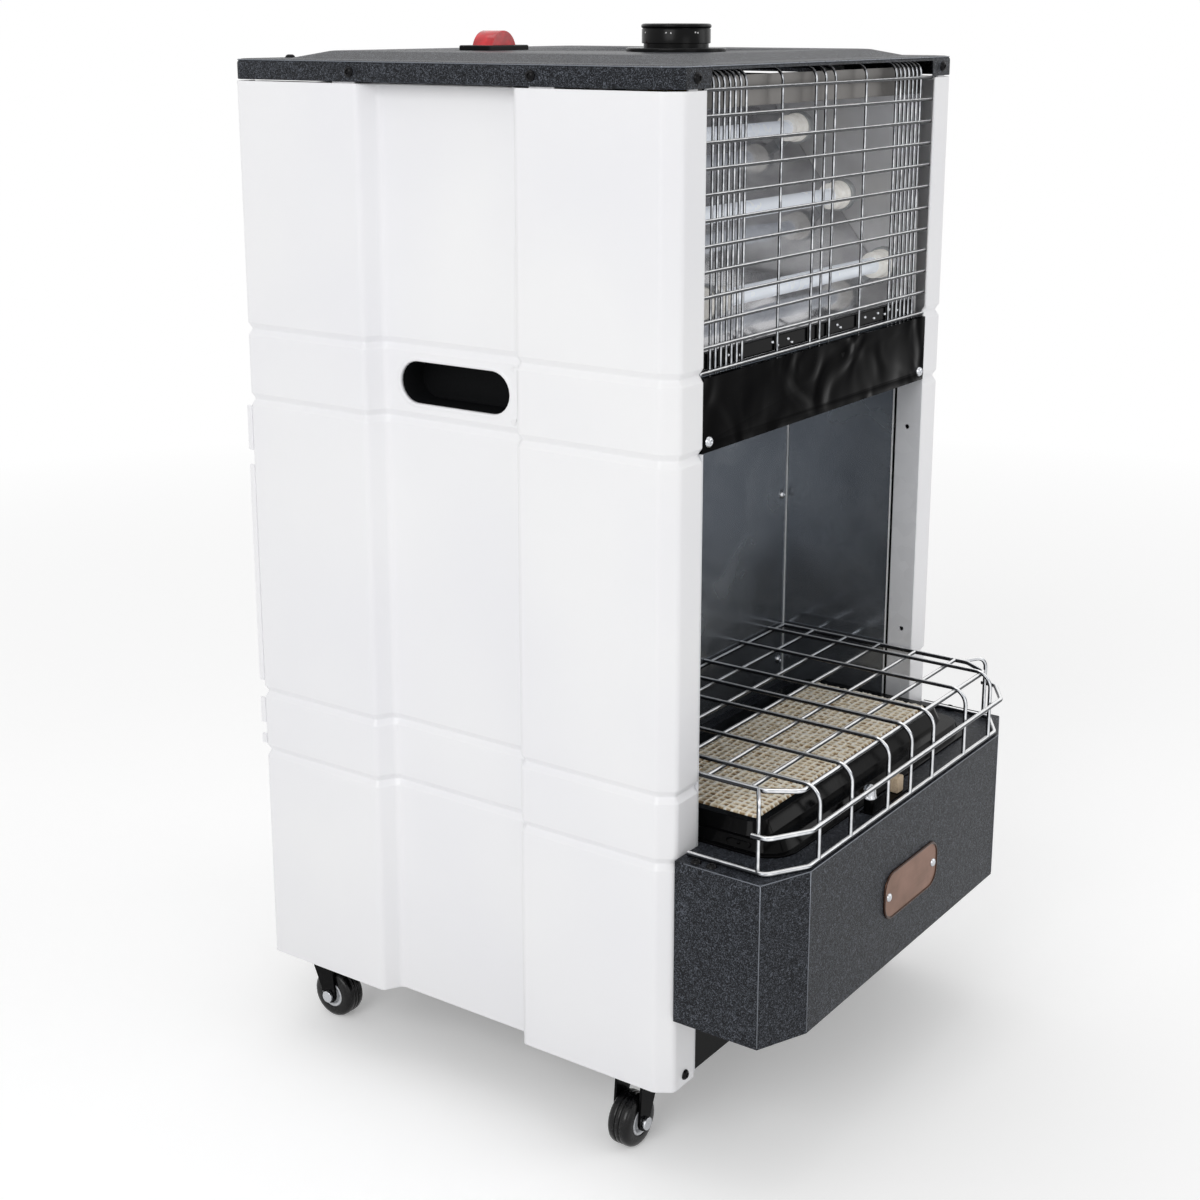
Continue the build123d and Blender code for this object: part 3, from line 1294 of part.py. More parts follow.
def fork():
    inner = TYRE_WIDTH / 2 + FORK_GAP
    outer = inner + FORK_SHEET
    crown_bottom = FORK_TOP - FORK_SHEET
    shape = Pos(0, 0, FORK_TOP - FORK_SHEET / 2) * Cylinder(CROWN_R, FORK_SHEET)
    shape += block(FORK_REAR, FORK_FRONT, -outer, outer, crown_bottom, FORK_TOP)
    leg = make_face(
        Polyline(
            (FORK_REAR, 0, FORK_TOP),
            (FORK_FRONT, 0, FORK_TOP),
            (TRAIL + FORK_BOSS_R, 0, WHEEL_R),
            (TRAIL - FORK_BOSS_R, 0, WHEEL_R),
            close=True,
        )
    )
    boss = rod((TRAIL, -outer, WHEEL_R), (TRAIL, outer, WHEEL_R), FORK_BOSS_R)
    legs = extrude(leg, outer, both=True) + boss
    legs -= block(2 * FORK_REAR, 3 * FORK_FRONT, -inner, inner, -1, FORK_TOP + 1)
    shape += legs
    shape += rod((0, 0, FORK_TOP - 0.5), (0, 0, FORK_TOP + KING_PIN_LENGTH), KING_PIN_R)
    return shape - rod((TRAIL, -2 * outer, WHEEL_R), (TRAIL, 2 * outer, WHEEL_R), AXLE_R + RUN_GAP)


def axle():
    outer = TYRE_WIDTH / 2 + FORK_GAP + FORK_SHEET
    pin = rod((TRAIL, -outer - 0.5, WHEEL_R), (TRAIL, outer + 0.5, WHEEL_R), AXLE_R)
    for side in (-1, 1):
        near = side * (outer + RUN_GAP)
        head = rod((TRAIL, near, WHEEL_R), (TRAIL, near + side * AXLE_HEAD, WHEEL_R), AXLE_HEAD_R)
        pin += head
    return pin


def tyre():
    half = TYRE_WIDTH / 2
    shape = rod((TRAIL, -half, WHEEL_R), (TRAIL, half, WHEEL_R), WHEEL_R)
    rims = shape.edges().filter_by(GeomType.CIRCLE)
    shape = fillet(rims, TYRE_ROUND)
    for side in (-1, 1):
        groove = rod((TRAIL, side * 1.0, WHEEL_R), (TRAIL, side * 2.0, WHEEL_R), WHEEL_R + 1)
        groove -= rod((TRAIL, side * 0.5, WHEEL_R), (TRAIL, side * 2.5, WHEEL_R), WHEEL_R - TYRE_GROOVE)
        shape -= groove
    return shape - rod((TRAIL, -half - 1, WHEEL_R), (TRAIL, half + 1, WHEEL_R), HUB_R)


def hub():
    half = HUB_WIDTH / 2
    shape = rod((TRAIL, -half, WHEEL_R), (TRAIL, half, WHEEL_R), HUB_R)
    return shape - rod((TRAIL, -half - 1, WHEEL_R), (TRAIL, half + 1, WHEEL_R), AXLE_R + AXLE_GAP)


def caster_plates():
    plates = []
    far = SIDE_X - FLANGE_WIDTH - FIT_GAP
    for x, y, _ in CASTERS.values():
        side = math.copysign(1, x)
        back = MOUNT_BACK if y < 0 else RACE_R
        low = BASE_UNDER - MOUNT_THICK
        near = side * (far - MOUNT_WIDTH)
        plate = block(near, side * far, y - MOUNT_INNER, y + back, low, BASE_UNDER)
        plate += rod((x, y, RACE_BOTTOM), (x, y, low + FIT_GAP), RACE_R)
        top = FORK_TOP + KING_PIN_LENGTH + 0.5
        plate -= rod((x, y, RACE_BOTTOM - 1), (x, y, top), KING_PIN_R + RUN_GAP)
        plates.append(plate.solids()[0])
    return Compound(plates)


def pieces():
    """Every sub-part by its name."""
    left = side_panel_left()
    shapes = {
        "side_panel_left": left,
        "side_panel_right": mirror(left, about=Plane.YZ),
        "handle_cups": handle_cups(),
        "top_lid": top_lid(),
        "black_screws": black_screws(),
        "knob_escutcheon": knob_escutcheon(),
        "control_knob": control_knob(),
        "valve_spindle": valve_spindle(),
        "valve_push_sleeve": valve_push_sleeve(),
        "gas_valve": gas_valve(),
        "burner_gas_pipe": burner_gas_pipe(),
        "gas_inlet_pipe": gas_inlet_pipe(),
        "switch_bezel": switch_bezel(),
        "switch_rocker": switch_rocker(),
        "upper_grille": upper_grille(),
        "reflector": reflector(),
        "reflector_ends": reflector_ends(),
        "quartz_tubes": quartz_tubes(),
        "heating_elements": heating_elements(),
        "tube_end_caps": tube_end_caps(),
        "tube_clips": tube_clips(),
        "heater_terminals": heater_terminals(),
        "front_fascia": front_fascia(),
        "chrome_screws": chrome_screws(),
        "cavity_liner": cavity_liner(),
        "cavity_side_walls": cavity_side_walls(),
        "front_rails": front_rails(),
        "tray_shell": tray_shell(),
        "tray_flange": tray_flange(),
        "burner_housing": burner_housing(),
        "burner_plaques": burner_plaques(),
        "burner_plenum": burner_plenum(),
        "pilot_burner": pilot_burner(),
        "spark_electrode": spark_electrode(),
        "wire_guard": wire_guard(),
        "nameplate": nameplate(),
        "nameplate_rivets": nameplate_rivets(),
        "base_pan": base_pan(),
        "rear_cover": rear_cover(),
        "bottle_door": bottle_door(),
        "door_hinges": door_hinges(),
        "door_catch": door_catch(),
        "caster_plates": caster_plates(),
    }
    caster = {"fork": fork(), "axle": axle(), "tyre": tyre(), "hub": hub()}
    for place in CASTERS:
        for kind, shape in caster.items():
            shapes[f"{kind}_{place}"] = caster_place(place, shape)
    return shapes


for name, shape in pieces().items():
    export_step(Pos(0, ORIGIN_Y, 0) * shape, f"parts/{name}.step")
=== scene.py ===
import math
import bpy
import numpy as np
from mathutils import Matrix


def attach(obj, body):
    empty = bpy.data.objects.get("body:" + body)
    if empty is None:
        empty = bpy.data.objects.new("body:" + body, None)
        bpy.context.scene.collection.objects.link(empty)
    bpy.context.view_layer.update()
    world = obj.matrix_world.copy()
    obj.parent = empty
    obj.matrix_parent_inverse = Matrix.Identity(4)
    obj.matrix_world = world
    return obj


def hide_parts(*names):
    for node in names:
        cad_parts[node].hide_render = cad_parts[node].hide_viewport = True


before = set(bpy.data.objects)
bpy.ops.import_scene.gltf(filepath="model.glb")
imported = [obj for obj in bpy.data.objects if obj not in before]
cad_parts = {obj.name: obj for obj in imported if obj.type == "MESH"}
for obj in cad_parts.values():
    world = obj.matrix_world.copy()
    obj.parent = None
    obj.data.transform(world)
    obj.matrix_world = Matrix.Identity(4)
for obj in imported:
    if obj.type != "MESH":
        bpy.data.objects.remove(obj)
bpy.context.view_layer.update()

# A portable gas cabinet heater. Lengths below are millimetres, with X from the middle of the
# cabinet, Y from the middle of its depth and Z from the floor, until cabinet() turns them
# into the frame's metres. A name with HALF in it is half a width, about the middle.
MM = 0.001
FRAME_Y = 38.05

SIDE_X = 190.0
FRONT_Y, REAR_Y = -183.0, 183.0
PANEL_BOTTOM, PANEL_TOP = 62.0, 725.0
LID_TOP, PLATEAU_Z = 740.0, 745.0
SHEET = 1.5
OPENING_HALF = 157.5
RECESS_X = -176.5
PANEL_CORNERS = (
    (-172.0, REAR_Y), (-SIDE_X, REAR_Y), (-SIDE_X, 71.0), (RECESS_X, 63.0), (RECESS_X, -53.0),
    (-SIDE_X, -61.0), (-SIDE_X, -171.0), (-182.0, FRONT_Y), (-OPENING_HALF, FRONT_Y),
)
PANEL_RADII = (4.0, 6.0, 6.0, 6.0, 6.0, 8.0, 5.0)
GROOVES = (229.2, 276.3, 500.2, 551.3)
GROOVE_HALF, GROOVE_DEPTH = 4.5, 3.0
LIPS = ((462.0, 495.0), (285.0, 451.0), (251.0, 271.0), (234.5, 242.0))
SLOT_Y, SLOT_Z, SLOT_STRAIGHT, SLOT_R = 2.4, 526.0, 32.5, 14.5
# The rectangle of the panel's grid that the hand slot takes: half its sides, and its cells.
PATCH_Y, PATCH_Z, PATCH_COLUMNS, PATCH_ROWS = 52.0, 19.0, 24, 8
LID_SCREW_Z, LID_SIDE_SCREWS = 732.5, (76.4, -74.4)
REAR_SCREWS = (488.0, 714.0)
BURNER_Y = -161.0
RIDGE_TOP = 251.0
TRAY_TOP, TRAY_FRONT, TRAY_HALF = 233.9, -263.7, 184.7
TRAY_EDGE = (-147.3, -247.8)
TILE_TOP, TILE_THICK, TILE_HALF, TILE_DEPTH = 249.4, 13.0, 131.0, 106.0
WINDOW_X, WINDOW_Y = 129.0, 51.0
PLATE_X, PLATE_Z = 1.5, 170.0
PILOT = (-40.0, -249.5)
KNOB = (-30.0, -78.0)
KNOB_BOTTOM = 750.3
TUBES = ((-162.5, 591.0), (-125.25, 639.25), (-88.0, 687.5))
TUBE_HALF, CAP_END = 122.0, 132.0
GRILLE_Y, GRILLE_TOP, GRILLE_HALF = -180.2, 725.0, 157.2
REFLECTOR_HALF, REFLECTOR_FRONT = 154.4, -170.6
GUARD_BACK, GUARD_FRONT, GUARD_HALF, GUARD_FOOT_HALF = -67.2, -261.0, 154.0, 173.5
GUARD_BASE, GUARD_MIDDLE, GUARD_TOP = 235.75, 262.0, 284.0
CAVITY_BACK = -66.0
HEARTH = (236.0, 500.0)
# Each caster's pivot and the angle that its fork trails at.
CASTERS = {
    "front_left": (-155.0, -137.0, 180.0),
    "front_right": (155.0, -137.0, -55.0),
    "rear_left": (-150.0, 165.0, -90.0),
    "rear_right": (150.0, 165.0, -90.0),
}
TRAIL, WHEEL_R = 11.0, 19.0
UP, RIGHT = np.array([0.0, 0.0, 1.0]), np.array([1.0, 0.0, 0.0])


# ---------------------------------------------------------------- shapes

def cabinet(points):
    """Cabinet millimetres to the frame's metres: Y moves by the frame's offset."""
    return (np.asarray(points, float) + (0.0, FRAME_Y, 0.0)) * MM


def grid_faces(rows, columns, close_columns=False):
    """Quads of a grid whose vertex (i, j) has the number i * columns + j."""
    i = np.arange(rows - 1)[:, None]
    j = np.arange(columns if close_columns else columns - 1)[None, :]
    across = (j + 1) % columns
    quads = [i * columns + j, i * columns + across, (i + 1) * columns + across, (i + 1) * columns + j]
    return np.stack(np.broadcast_arrays(*quads), -1).reshape(-1, 4)


def border(block):
    """The vertex numbers round a block of a grid: along its first row, and back by its first column."""
    return np.concatenate([block[0, :-1], block[:-1, -1], block[-1, :0:-1], block[:0:-1, 0]])


def ring_faces(rings, sides, ends=False):
    """Quads round rings of points, and with ends a lid on the first and on the last."""
    faces = grid_faces(rings, sides, close_columns=True).tolist()
    if ends:
        faces += [list(range(sides))[::-1], list(range((rings - 1) * sides, rings * sides))]
    return faces


def merged(parts):
    """Several (points, faces) pairs as one."""
    points, faces, start = [], [], 0
    for part_points, part_faces in parts:
        points.append(part_points)
        faces += [[k + start for k in face] for face in part_faces]
        start += len(part_points)
    return np.concatenate(points), faces


def mirrored(part):
    """The part across the middle of the cabinet, with its faces turned to stay outward."""
    points, faces = part
    return points * (-1, 1, 1), [face[::-1] for face in faces]


def both(part):
    """The part and its mirror image."""
    return merged([part, mirrored(part)])


def faced(part, place):
    """The part given half a turn round Z, so that what faced back or right faces front or left."""
    points, faces = part
    return points * (-1, -1, 1) + place, faces


def rounded(obj, edge, segments=3, angle=30.0):
    """Corners sharper than the angle are rounded by so many millimetres."""
    round_over = obj.modifiers.new("round_over", "BEVEL")
    round_over.width = edge * MM
    round_over.segments = segments
    round_over.limit_method = "ANGLE"
    round_over.angle_limit = math.radians(angle)
    round_over.harden_normals = True


def piece(name, part, material, slot, stands_for=(), body="cabinet", smooth_angle=40.0, sheet=0.0,
          inward=True, edge=0.0, segments=3, angle=30.0):
    """A mesh object from (points in cabinet millimetres, faces), riding on a body.

    Sheet is its thickness, inward or outward of the surface, and edge the size that rounds its
    corners sharper than the angle, both in millimetres.
    """
    points, faces = part
    mesh = bpy.data.meshes.new(name)
    mesh.from_pydata(cabinet(points), [], faces)
    mesh.materials.append(material)
    mesh.validate()
    obj = bpy.data.objects.new(name, mesh)
    bpy.context.scene.collection.objects.link(obj)
    mesh.shade_smooth()
    mesh.set_sharp_from_angle(angle=math.radians(smooth_angle))
    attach(obj, body)
    if stands_for:
        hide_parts(*stands_for)
    if sheet:
        solid = obj.modifiers.new("sheet", "SOLIDIFY")
        solid.thickness = sheet * MM
        solid.offset = -1.0 if inward else 1.0
    if edge:
        rounded(obj, edge, segments, angle)
    return obj


def unit(vectors):
    """Vectors of length 1 that keep their directions."""
    return vectors / np.linalg.norm(vectors, axis=-1, keepdims=True)


def bent(points, radius, steps=6):
    """A path with each inner corner turned into an arc of the radius.

    The arc starts radius * tan(turn / 2) before the corner; a point at angle f along it is
    start + radius * (sin f * incoming + (1 - cos f) * towards the arc's centre).
    """
    points = np.asarray(points, float)
    before, corner, after = points[:-2], points[1:-1], points[2:]
    coming, going = unit(corner - before), unit(after - corner)
    turn = np.arccos(np.clip((coming * going).sum(-1), -1, 1))
    radius = np.broadcast_to(radius, turn.shape)[:, None]
    start = corner - coming * radius * np.tan(turn / 2)[:, None]
    inward = unit(going - coming * (coming * going).sum(-1)[:, None])
    angle = turn[:, None] * np.linspace(0, 1, steps)[None, :]
    arcs = (
        start[:, None]
        + (radius * np.sin(angle))[..., None] * coming[:, None]
        + (radius * (1 - np.cos(angle)))[..., None] * inward[:, None]
    )
    return np.concatenate([points[:1], arcs.reshape(-1, 3), points[-1:]])


def wire(path, radius, across, sides=10):
    """A round wire: a circle carried along a flat path whose plane has the normal `across`.

    Vertex (i, j) is path i + radius * (cos a * across + sin a * across x tangent), a = 2 pi j / sides,
    and each end closes with a smaller ring pushed out by a third of the radius.
    """
    path = np.asarray(path, float)
    across = unit(across)
    tangent = unit(np.gradient(path, axis=0))
    tangent[0], tangent[-1] = unit(path[1] - path[0]), unit(path[-1] - path[-2])
    ends = [path[0] - tangent[0] * radius * 0.3, path[-1] + tangent[-1] * radius * 0.3]
    path = np.vstack([ends[0], path, ends[1]])
    tangent = np.vstack([tangent[:1], tangent, tangent[-1:]])
    size = np.full(len(path), radius)
    size[[0, -1]] = radius * 0.6
    angle = np.linspace(0, 2 * np.pi, sides, endpoint=False)
    other = unit(np.cross(across, tangent))
    ring = np.cos(angle)[None, :, None] * across + np.sin(angle)[None, :, None] * other[:, None]
    points = path[:, None] + ring * size[:, None, None]
    return points.reshape(-1, 3), [face[::-1] for face in ring_faces(len(path), sides, ends=True)]


def turned(profile, sides, axis="z", place=(0, 0, 0)):
    """A turned form: (radius, height) pairs carried round an axis through a place.

    A profile that starts and ends at radius 0 closes on single poles.
    """
    profile = np.asarray(profile, float)
    angle = np.linspace(0, 2 * np.pi, sides, endpoint=False)
    radius, height = profile[:, 0][:, None], profile[:, 1][:, None]
    flat = np.stack([radius * np.cos(angle), radius * np.sin(angle), height + 0 * angle], -1)
    order = {"z": (0, 1, 2), "x": (2, 0, 1), "y": (1, 2, 0)}[axis]
    return flat[..., order].reshape(-1, 3) + place, ring_faces(len(profile), sides)


def rounded_ring(half_x, half_y, radius, steps=7):
    """A rounded rectangle as points anticlockwise: four arcs whose ends join straight."""
    angle = np.linspace(0, np.pi / 2, steps)[None, :] + np.arange(4)[:, None] * np.pi / 2
    sign_x = np.array([1, -1, -1, 1])[:, None]
    sign_y = np.array([1, 1, -1, -1])[:, None]
    x = sign_x * (half_x - radius) + radius * np.cos(angle)
    y = sign_y * (half_y - radius) + radius * np.sin(angle)
    return np.stack([x.ravel(), y.ravel()], -1)


def pressed(levels, centre, close=False, steps=7):
    """A pressed form: rounded rectangles (half x, half y, corner radius, z) joined ring by ring."""
    rings = [
        np.column_stack([rounded_ring(hx, hy, r, steps), np.full(4 * steps, z)])
        for hx, hy, r, z in levels
    ]
    points = np.concatenate(rings) + (centre[0], centre[1], 0)
    faces = ring_faces(len(levels), 4 * steps)
    if close:
        faces.append(list(range(len(points) - 4 * steps, len(points))))
    return points, faces


def eased(points, radius, steps=5):
    """A (u, v) outline whose inner corners are eased, found as bent() does in a flat plane."""
    flat = np.column_stack([points, np.zeros(len(points))])
    return bent(flat, radius, steps)[:, :2]


def level(half, y, z):
    """A straight level path along X."""
    return [(-half, y, z), (0, y, z), (half, y, z)]


def symmetric(left, z):
    """A level path: the left half of a plan, and then its mirror image backwards."""
    half = np.column_stack([left, np.full(len(left), z)])
    return np.vstack([half, half[::-1] * (-1, 1, 1)])


def slab(outline, z0, z1):
    """A plan outline (anticlockwise) raised from z0 to z1: two rings of points and two lids."""
    count = len(outline)
    points = np.vstack([np.column_stack([outline, np.full(count, z)]) for z in (z0, z1)])
    return points, ring_faces(2, count, ends=True)


def brick(x0, x1, y0, y1, z0, z1):
    """A box between those planes."""
    return slab([(x0, y0), (x1, y0), (x1, y1), (x0, y1)], z0, z1)


# ---------------------------------------------------------------- materials

def linear(code):
    """An sRGB hex value as linear red, green, blue and alpha."""
    value = np.array([int(code[k:k + 2], 16) for k in (1, 3, 5)]) / 255
    value = np.where(value <= 0.04045, value / 12.92, ((value + 0.055) / 1.055) ** 2.4)
    return (*value.tolist(), 1.0)


def add(tree, kind, links=None, values=None, **settings):
    """One shader node: its settings, the values of its sockets, and the outputs that feed them."""
    made = tree.nodes.new("ShaderNode" + kind)
    for key, value in settings.items():
        setattr(made, key, value)
    for key, value in (values or {}).items():
        made.inputs[key].default_value = value
    for key, output in (links or {}).items():
        tree.links.new(output, made.inputs[key])
    return made


def surface(name, colour, roughness, **sockets):
    """A material with one Principled shader, and its Object coordinates for patterns."""
    material = bpy.data.materials.new(name)
    material.use_nodes = True
    tree = material.node_tree
    shader = tree.nodes["Principled BSDF"]
    shader.inputs["Base Color"].default_value = linear(colour)
    shader.inputs["Roughness"].default_value = roughness
    for key, value in sockets.items():
        shader.inputs[key.replace("_", " ")].default_value = value
    return material, tree, shader, add(tree, "TexCoord").outputs["Object"]


def ramp(tree, factor, *stops):
    """A colour ramp from (position, hex) stops."""
    made = add(tree, "ValToRGB", {"Fac": factor})
    elements = made.color_ramp.elements
    while len(elements) < len(stops):
        elements.new(0.5)
    for element, (position, code) in zip(elements, stops):
        element.position = position
        element.color = linear(code)
    return made.outputs["Color"]


def grey_ramp(tree, factor, low, high, start=0.0, end=1.0):
    """A factor from low to high as another runs from start to end."""
    return add(
        tree, "MapRange", {"Value": factor},
        {"From Min": start, "From Max": end, "To Min": low, "To Max": high},
    ).outputs["Result"]


def feed(tree, shader, colour=None, roughness=None):
    """Patterns that drive the shader's colour and its roughness."""
    for key, output in (("Base Color", colour), ("Roughness", roughness)):
        if output:
            tree.links.new(output, shader.inputs[key])


def bump(tree, shader, height, distance, strength=1.0):
    """Relief on the shader: distance is its full height in millimetres."""
    made = add(tree, "Bump", {"Height": height}, {"Strength": strength, "Distance": distance * MM})
    tree.links.new(made.outputs["Normal"], shader.inputs["Normal"])


def noise(tree, coordinates, millimetres, **values):
    """Noise whose lumps are about that many millimetres across."""
    values = {"Scale": 1000.0 / millimetres, **{k.replace("_", " "): v for k, v in values.items()}}
    return add(tree, "TexNoise", {"Vector": coordinates}, values).outputs["Fac"]


def patterned(name, colour, roughness, lump, polish=(), tones=(), relief=0.0, strength=1.0,
              detail=2.0, distortion=0.0, **sockets):
    """A material whose tone, polish and relief follow one noise.

    lump is the noise's size in millimetres, polish its low and high roughness and, if given, the
    part of the noise between them, tones the stops of its colours, and relief its full height in
    millimetres.
    """
    material, tree, shader, where = surface(name, colour, roughness, **sockets)
    pattern = noise(tree, where, lump, Detail=detail, Distortion=distortion)
    tone = tones and ramp(tree, pattern, *tones)
    feed(tree, shader, tone, polish and grey_ramp(tree, pattern, *polish))
    if relief:
        bump(tree, shader, pattern, relief, strength)
    return material


def plated(name, colour, roughness, spread, grain):
    """A bare or plated metal: its polish varies slowly over the surface."""
    polish = (roughness - spread / 2, roughness + spread / 2, 0.3, 0.7)
    return patterned(name, colour, roughness, grain, polish, relief=0.02, detail=3.0, Metallic=1.0)


def white_powder_coat():
    # Polyester powder coat baked on steel: satin white, an orange peel of about 3 mm too
    # shallow to see except in its highlights, and the faintest change of tone.
    material, tree, shader, where = surface(
        "white_powder_coat", "#f1f1f3", 0.36, Coat_Weight=0.15, Coat_Roughness=0.2
    )
    peel = noise(tree, where, 3.0, Detail=1.0, Roughness=0.4)
    tone = noise(tree, where, 140.0, Detail=1.0)
    feed(tree, shader, ramp(tree, tone, (0.3, "#eeeef1"), (0.7, "#f3f3f4")))
    bump(tree, shader, peel, 0.02, 0.6)
    return material


def hammertone():
    # Textured epoxy powder coat: dark slate grey with a wormy grain of about 2 mm whose
    # ridges catch the light, so it pales where it is seen at a shallow angle.
    material, tree, shader, where = surface(
        "hammertone_powder_coat", "#303237", 0.36, Specular_IOR_Level=0.12
    )
    ridges = noise(tree, where, 1.9, Detail=1.0, Roughness=0.5, Distortion=2.6)
    grain = noise(tree, where, 0.7, Detail=1.0)
    tones = ((0.4, "#131418"), (0.49, "#1d1f23"), (0.56, "#2f3237"), (0.64, "#575b63"))
    feed(tree, shader, ramp(tree, ridges, *tones), grey_ramp(tree, grain, 0.28, 0.44))
    mixed = add(tree, "Mix", {2: ridges, 3: grain}, {0: 0.2}, data_type="FLOAT")
    bump(tree, shader, mixed.outputs[0], 0.45)
    return material


def chrome_wire(name, front, drift_share):
    # Nickel-chrome drawn wire, its colour painted with light: a painted highlight along its top and
    # its front, set by the way the surface faces, and painted dark reflection on the sides between
    # them.
    material, tree, shader, _ = surface(name, "#6c6e74", 0.14, Metallic=0.6)
    where = add(tree, "TexCoord").outputs
    sides = []
    for direction in ((-0.15, -0.3, 0.94), front):
        towards = add(
            tree, "VectorMath", {0: where["Normal"]}, {1: direction}, operation="DOT_PRODUCT"
        )
        sides.append(towards.outputs["Value"])
    painted_highlight = add(tree, "Math", {0: sides[0], 1: sides[1]}, operation="MAXIMUM").outputs["Value"]
    drift = noise(tree, where["Object"], 6.0, Detail=2.0)
    painted_highlight = add(
        tree, "Math", {0: drift, 2: painted_highlight}, {1: drift_share}, operation="MULTIPLY_ADD"
    ).outputs["Value"]
    # Painted dark reflection for low values, painted highlight for high ones.
    tones = ((0.0, "#17181b"), (0.74, "#2c2e32"), (0.88, "#c9ccd1"), (0.97, "#ffffff"))
    feed(tree, shader, ramp(tree, painted_highlight, *tones), grey_ramp(tree, drift, 0.08, 0.2, 0.3, 0.7))
    return material


def mirror_steel():
    # Bright annealed stainless reflector: mirror finish on thin sheet. It was rolled along X,
    # so its slow ripples and smears run that way.
    material, tree, shader, where = surface("mirror_polished_stainless", "#c4c1bd", 0.09, Metallic=0.75)
    rolled = add(tree, "Mapping", {"Vector": where}, {"Scale": (0.3, 1.0, 1.0)}).outputs["Vector"]
    ripple = noise(tree, rolled, 34.0, Detail=1.0, Distortion=0.5)
    smear = noise(tree, rolled, 14.0, Detail=3.0)
    tone = ramp(tree, smear, (0.35, "#bcbcbf"), (0.65, "#d9d9db"))
    feed(tree, shader, tone, grey_ramp(tree, smear, 0.06, 0.2, 0.35, 0.7))
    bump(tree, shader, ripple, 1.0)
    return material


def zinc_steel(name, low, high, metallic):
    # Hot-dip galvanised sheet: light grey with spangle of about 9 mm, half gloss.
    material, tree, shader, where = surface(name, high, 0.34, Metallic=metallic)
    spangle = add(tree, "TexVoronoi", {"Vector": where}, {"Scale": 1000 / 9.0}).outputs["Color"]
    tone = ramp(tree, spangle, (0.2, low), (0.8, high))
    feed(tree, shader, tone, grey_ramp(tree, noise(tree, where, 5.0), 0.28, 0.42))
    bump(tree, shader, noise(tree, where, 30.0), 0.1)
    return material


def glazed_ceramic():
    # Glazed porcelain end cap: warm white under a clear gloss. Light that scatters inside it is
    # given as a weak emission.
    material, tree, shader, where = surface(
        "glazed_porcelain", "#eeece6", 0.16, IOR=1.5, Coat_Weight=0.5, Coat_Roughness=0.06,
        Emission_Color=linear("#f1ede6"), Emission_Strength=0.2,
    )
    speck = noise(tree, where, 2.5, Detail=3.0)
    feed(tree, shader, ramp(tree, speck, (0.3, "#e9e6df"), (0.6, "#f3f2ee")))
    bump(tree, shader, noise(tree, where, 6.0), 0.06)
    return material


def cordierite():
    # Unglazed cordierite burner tile: cream ribs, the pockets where gas leaves darker tan the deeper a
    # point lies, patchy by a noise, chalky. The tiles' own "pocket" value says how deep in a pocket a
    # point lies.
    material, tree, shader, where = surface("cordierite_burner_tile", "#e6dcc6", 0.88)
    depth = add(tree, "Attribute", attribute_name="pocket").outputs["Fac"]
    patchiness = noise(tree, where, 4.0, Detail=3.0)
    pocket_darkening = add(tree, "Math", {0: patchiness, 1: depth}, operation="MULTIPLY").outputs["Value"]
    tones = ((0.0, "#fbf6ea"), (0.3, "#e9dcc2"), (0.7, "#a58a64"), (1.0, "#6b5338"))
    deep = grey_ramp(tree, pocket_darkening, 0.0, 1.0, 0.0, 0.62)
    feed(tree, shader, ramp(tree, deep, *tones))
    bump(tree, shader, noise(tree, where, 0.9, Detail=2.0), 0.1)
    return material


def brushed_copper():
    # Copper plate brushed along its length and lacquered: soft brown-pink with fine lines.
    material, tree, shader, where = surface("brushed_copper", "#84685c", 0.3, Metallic=0.9)
    along = add(tree, "Mapping", {"Vector": where}, {"Scale": (0.02, 1.0, 1.0)}).outputs["Vector"]
    lines = noise(tree, along, 0.5, Detail=2.0)
    patina = noise(tree, where, 22.0, Detail=3.0)
    tone = ramp(tree, patina, (0.3, "#735646"), (0.7, "#8d6c5d"))
    feed(tree, shader, tone, grey_ramp(tree, lines, 0.26, 0.46))
    bump(tree, shader, lines, 0.02)
    return material


WHITE = white_powder_coat()
HAMMER = hammertone()
# Bright beads on the folded edges of the tray and lid: a painted highlight where those edges catch the
# light.
EDGE_HIGHLIGHT = plated("edge_painted_highlight_coat", "#767a81", 0.3, 0.1, 3.0)
# Vitreous enamel fired on pressed steel: deep black, wet gloss, softly uneven.
ENAMEL = patterned(
    "black_vitreous_enamel", "#09090a", 0.1, 14.0, (0.07, 0.18), relief=0.12, strength=0.6,
    Specular_IOR_Level=0.06,
)
# Piano gloss lacquer on thin flat sheet: near mirror, with slow waves left by the sheet.
GLOSS = patterned(
    "black_gloss_lacquer", "#070708", 0.06, 52.0, relief=4.5, detail=0.5, distortion=1.8,
    Specular_IOR_Level=0.012,
)
# Blackened steel screw heads: dark, half gloss, fine pits.
OXIDE = patterned(
    "black_oxide_steel", "#08080a", 0.24, 0.7, (0.16, 0.32), relief=0.01, Specular_IOR_Level=0.14
)
# Injection moulded ABS: black, glossy, with a barely uneven skin.
ABS = patterned(
    "black_moulded_abs", "#0a0a0b", 0.2, 5.0, (0.16, 0.3), relief=0.03, Specular_IOR_Level=0.12
)
# Spark-eroded polypropylene: charcoal black, matt, with a 0.8 mm grain.
MATT = patterned(
    "black_grained_polypropylene", "#0e0f10", 0.7, 0.8, tones=((0.3, "#0a0b0c"), (0.7, "#111214")),
    relief=0.05, Specular_IOR_Level=0.1,
)
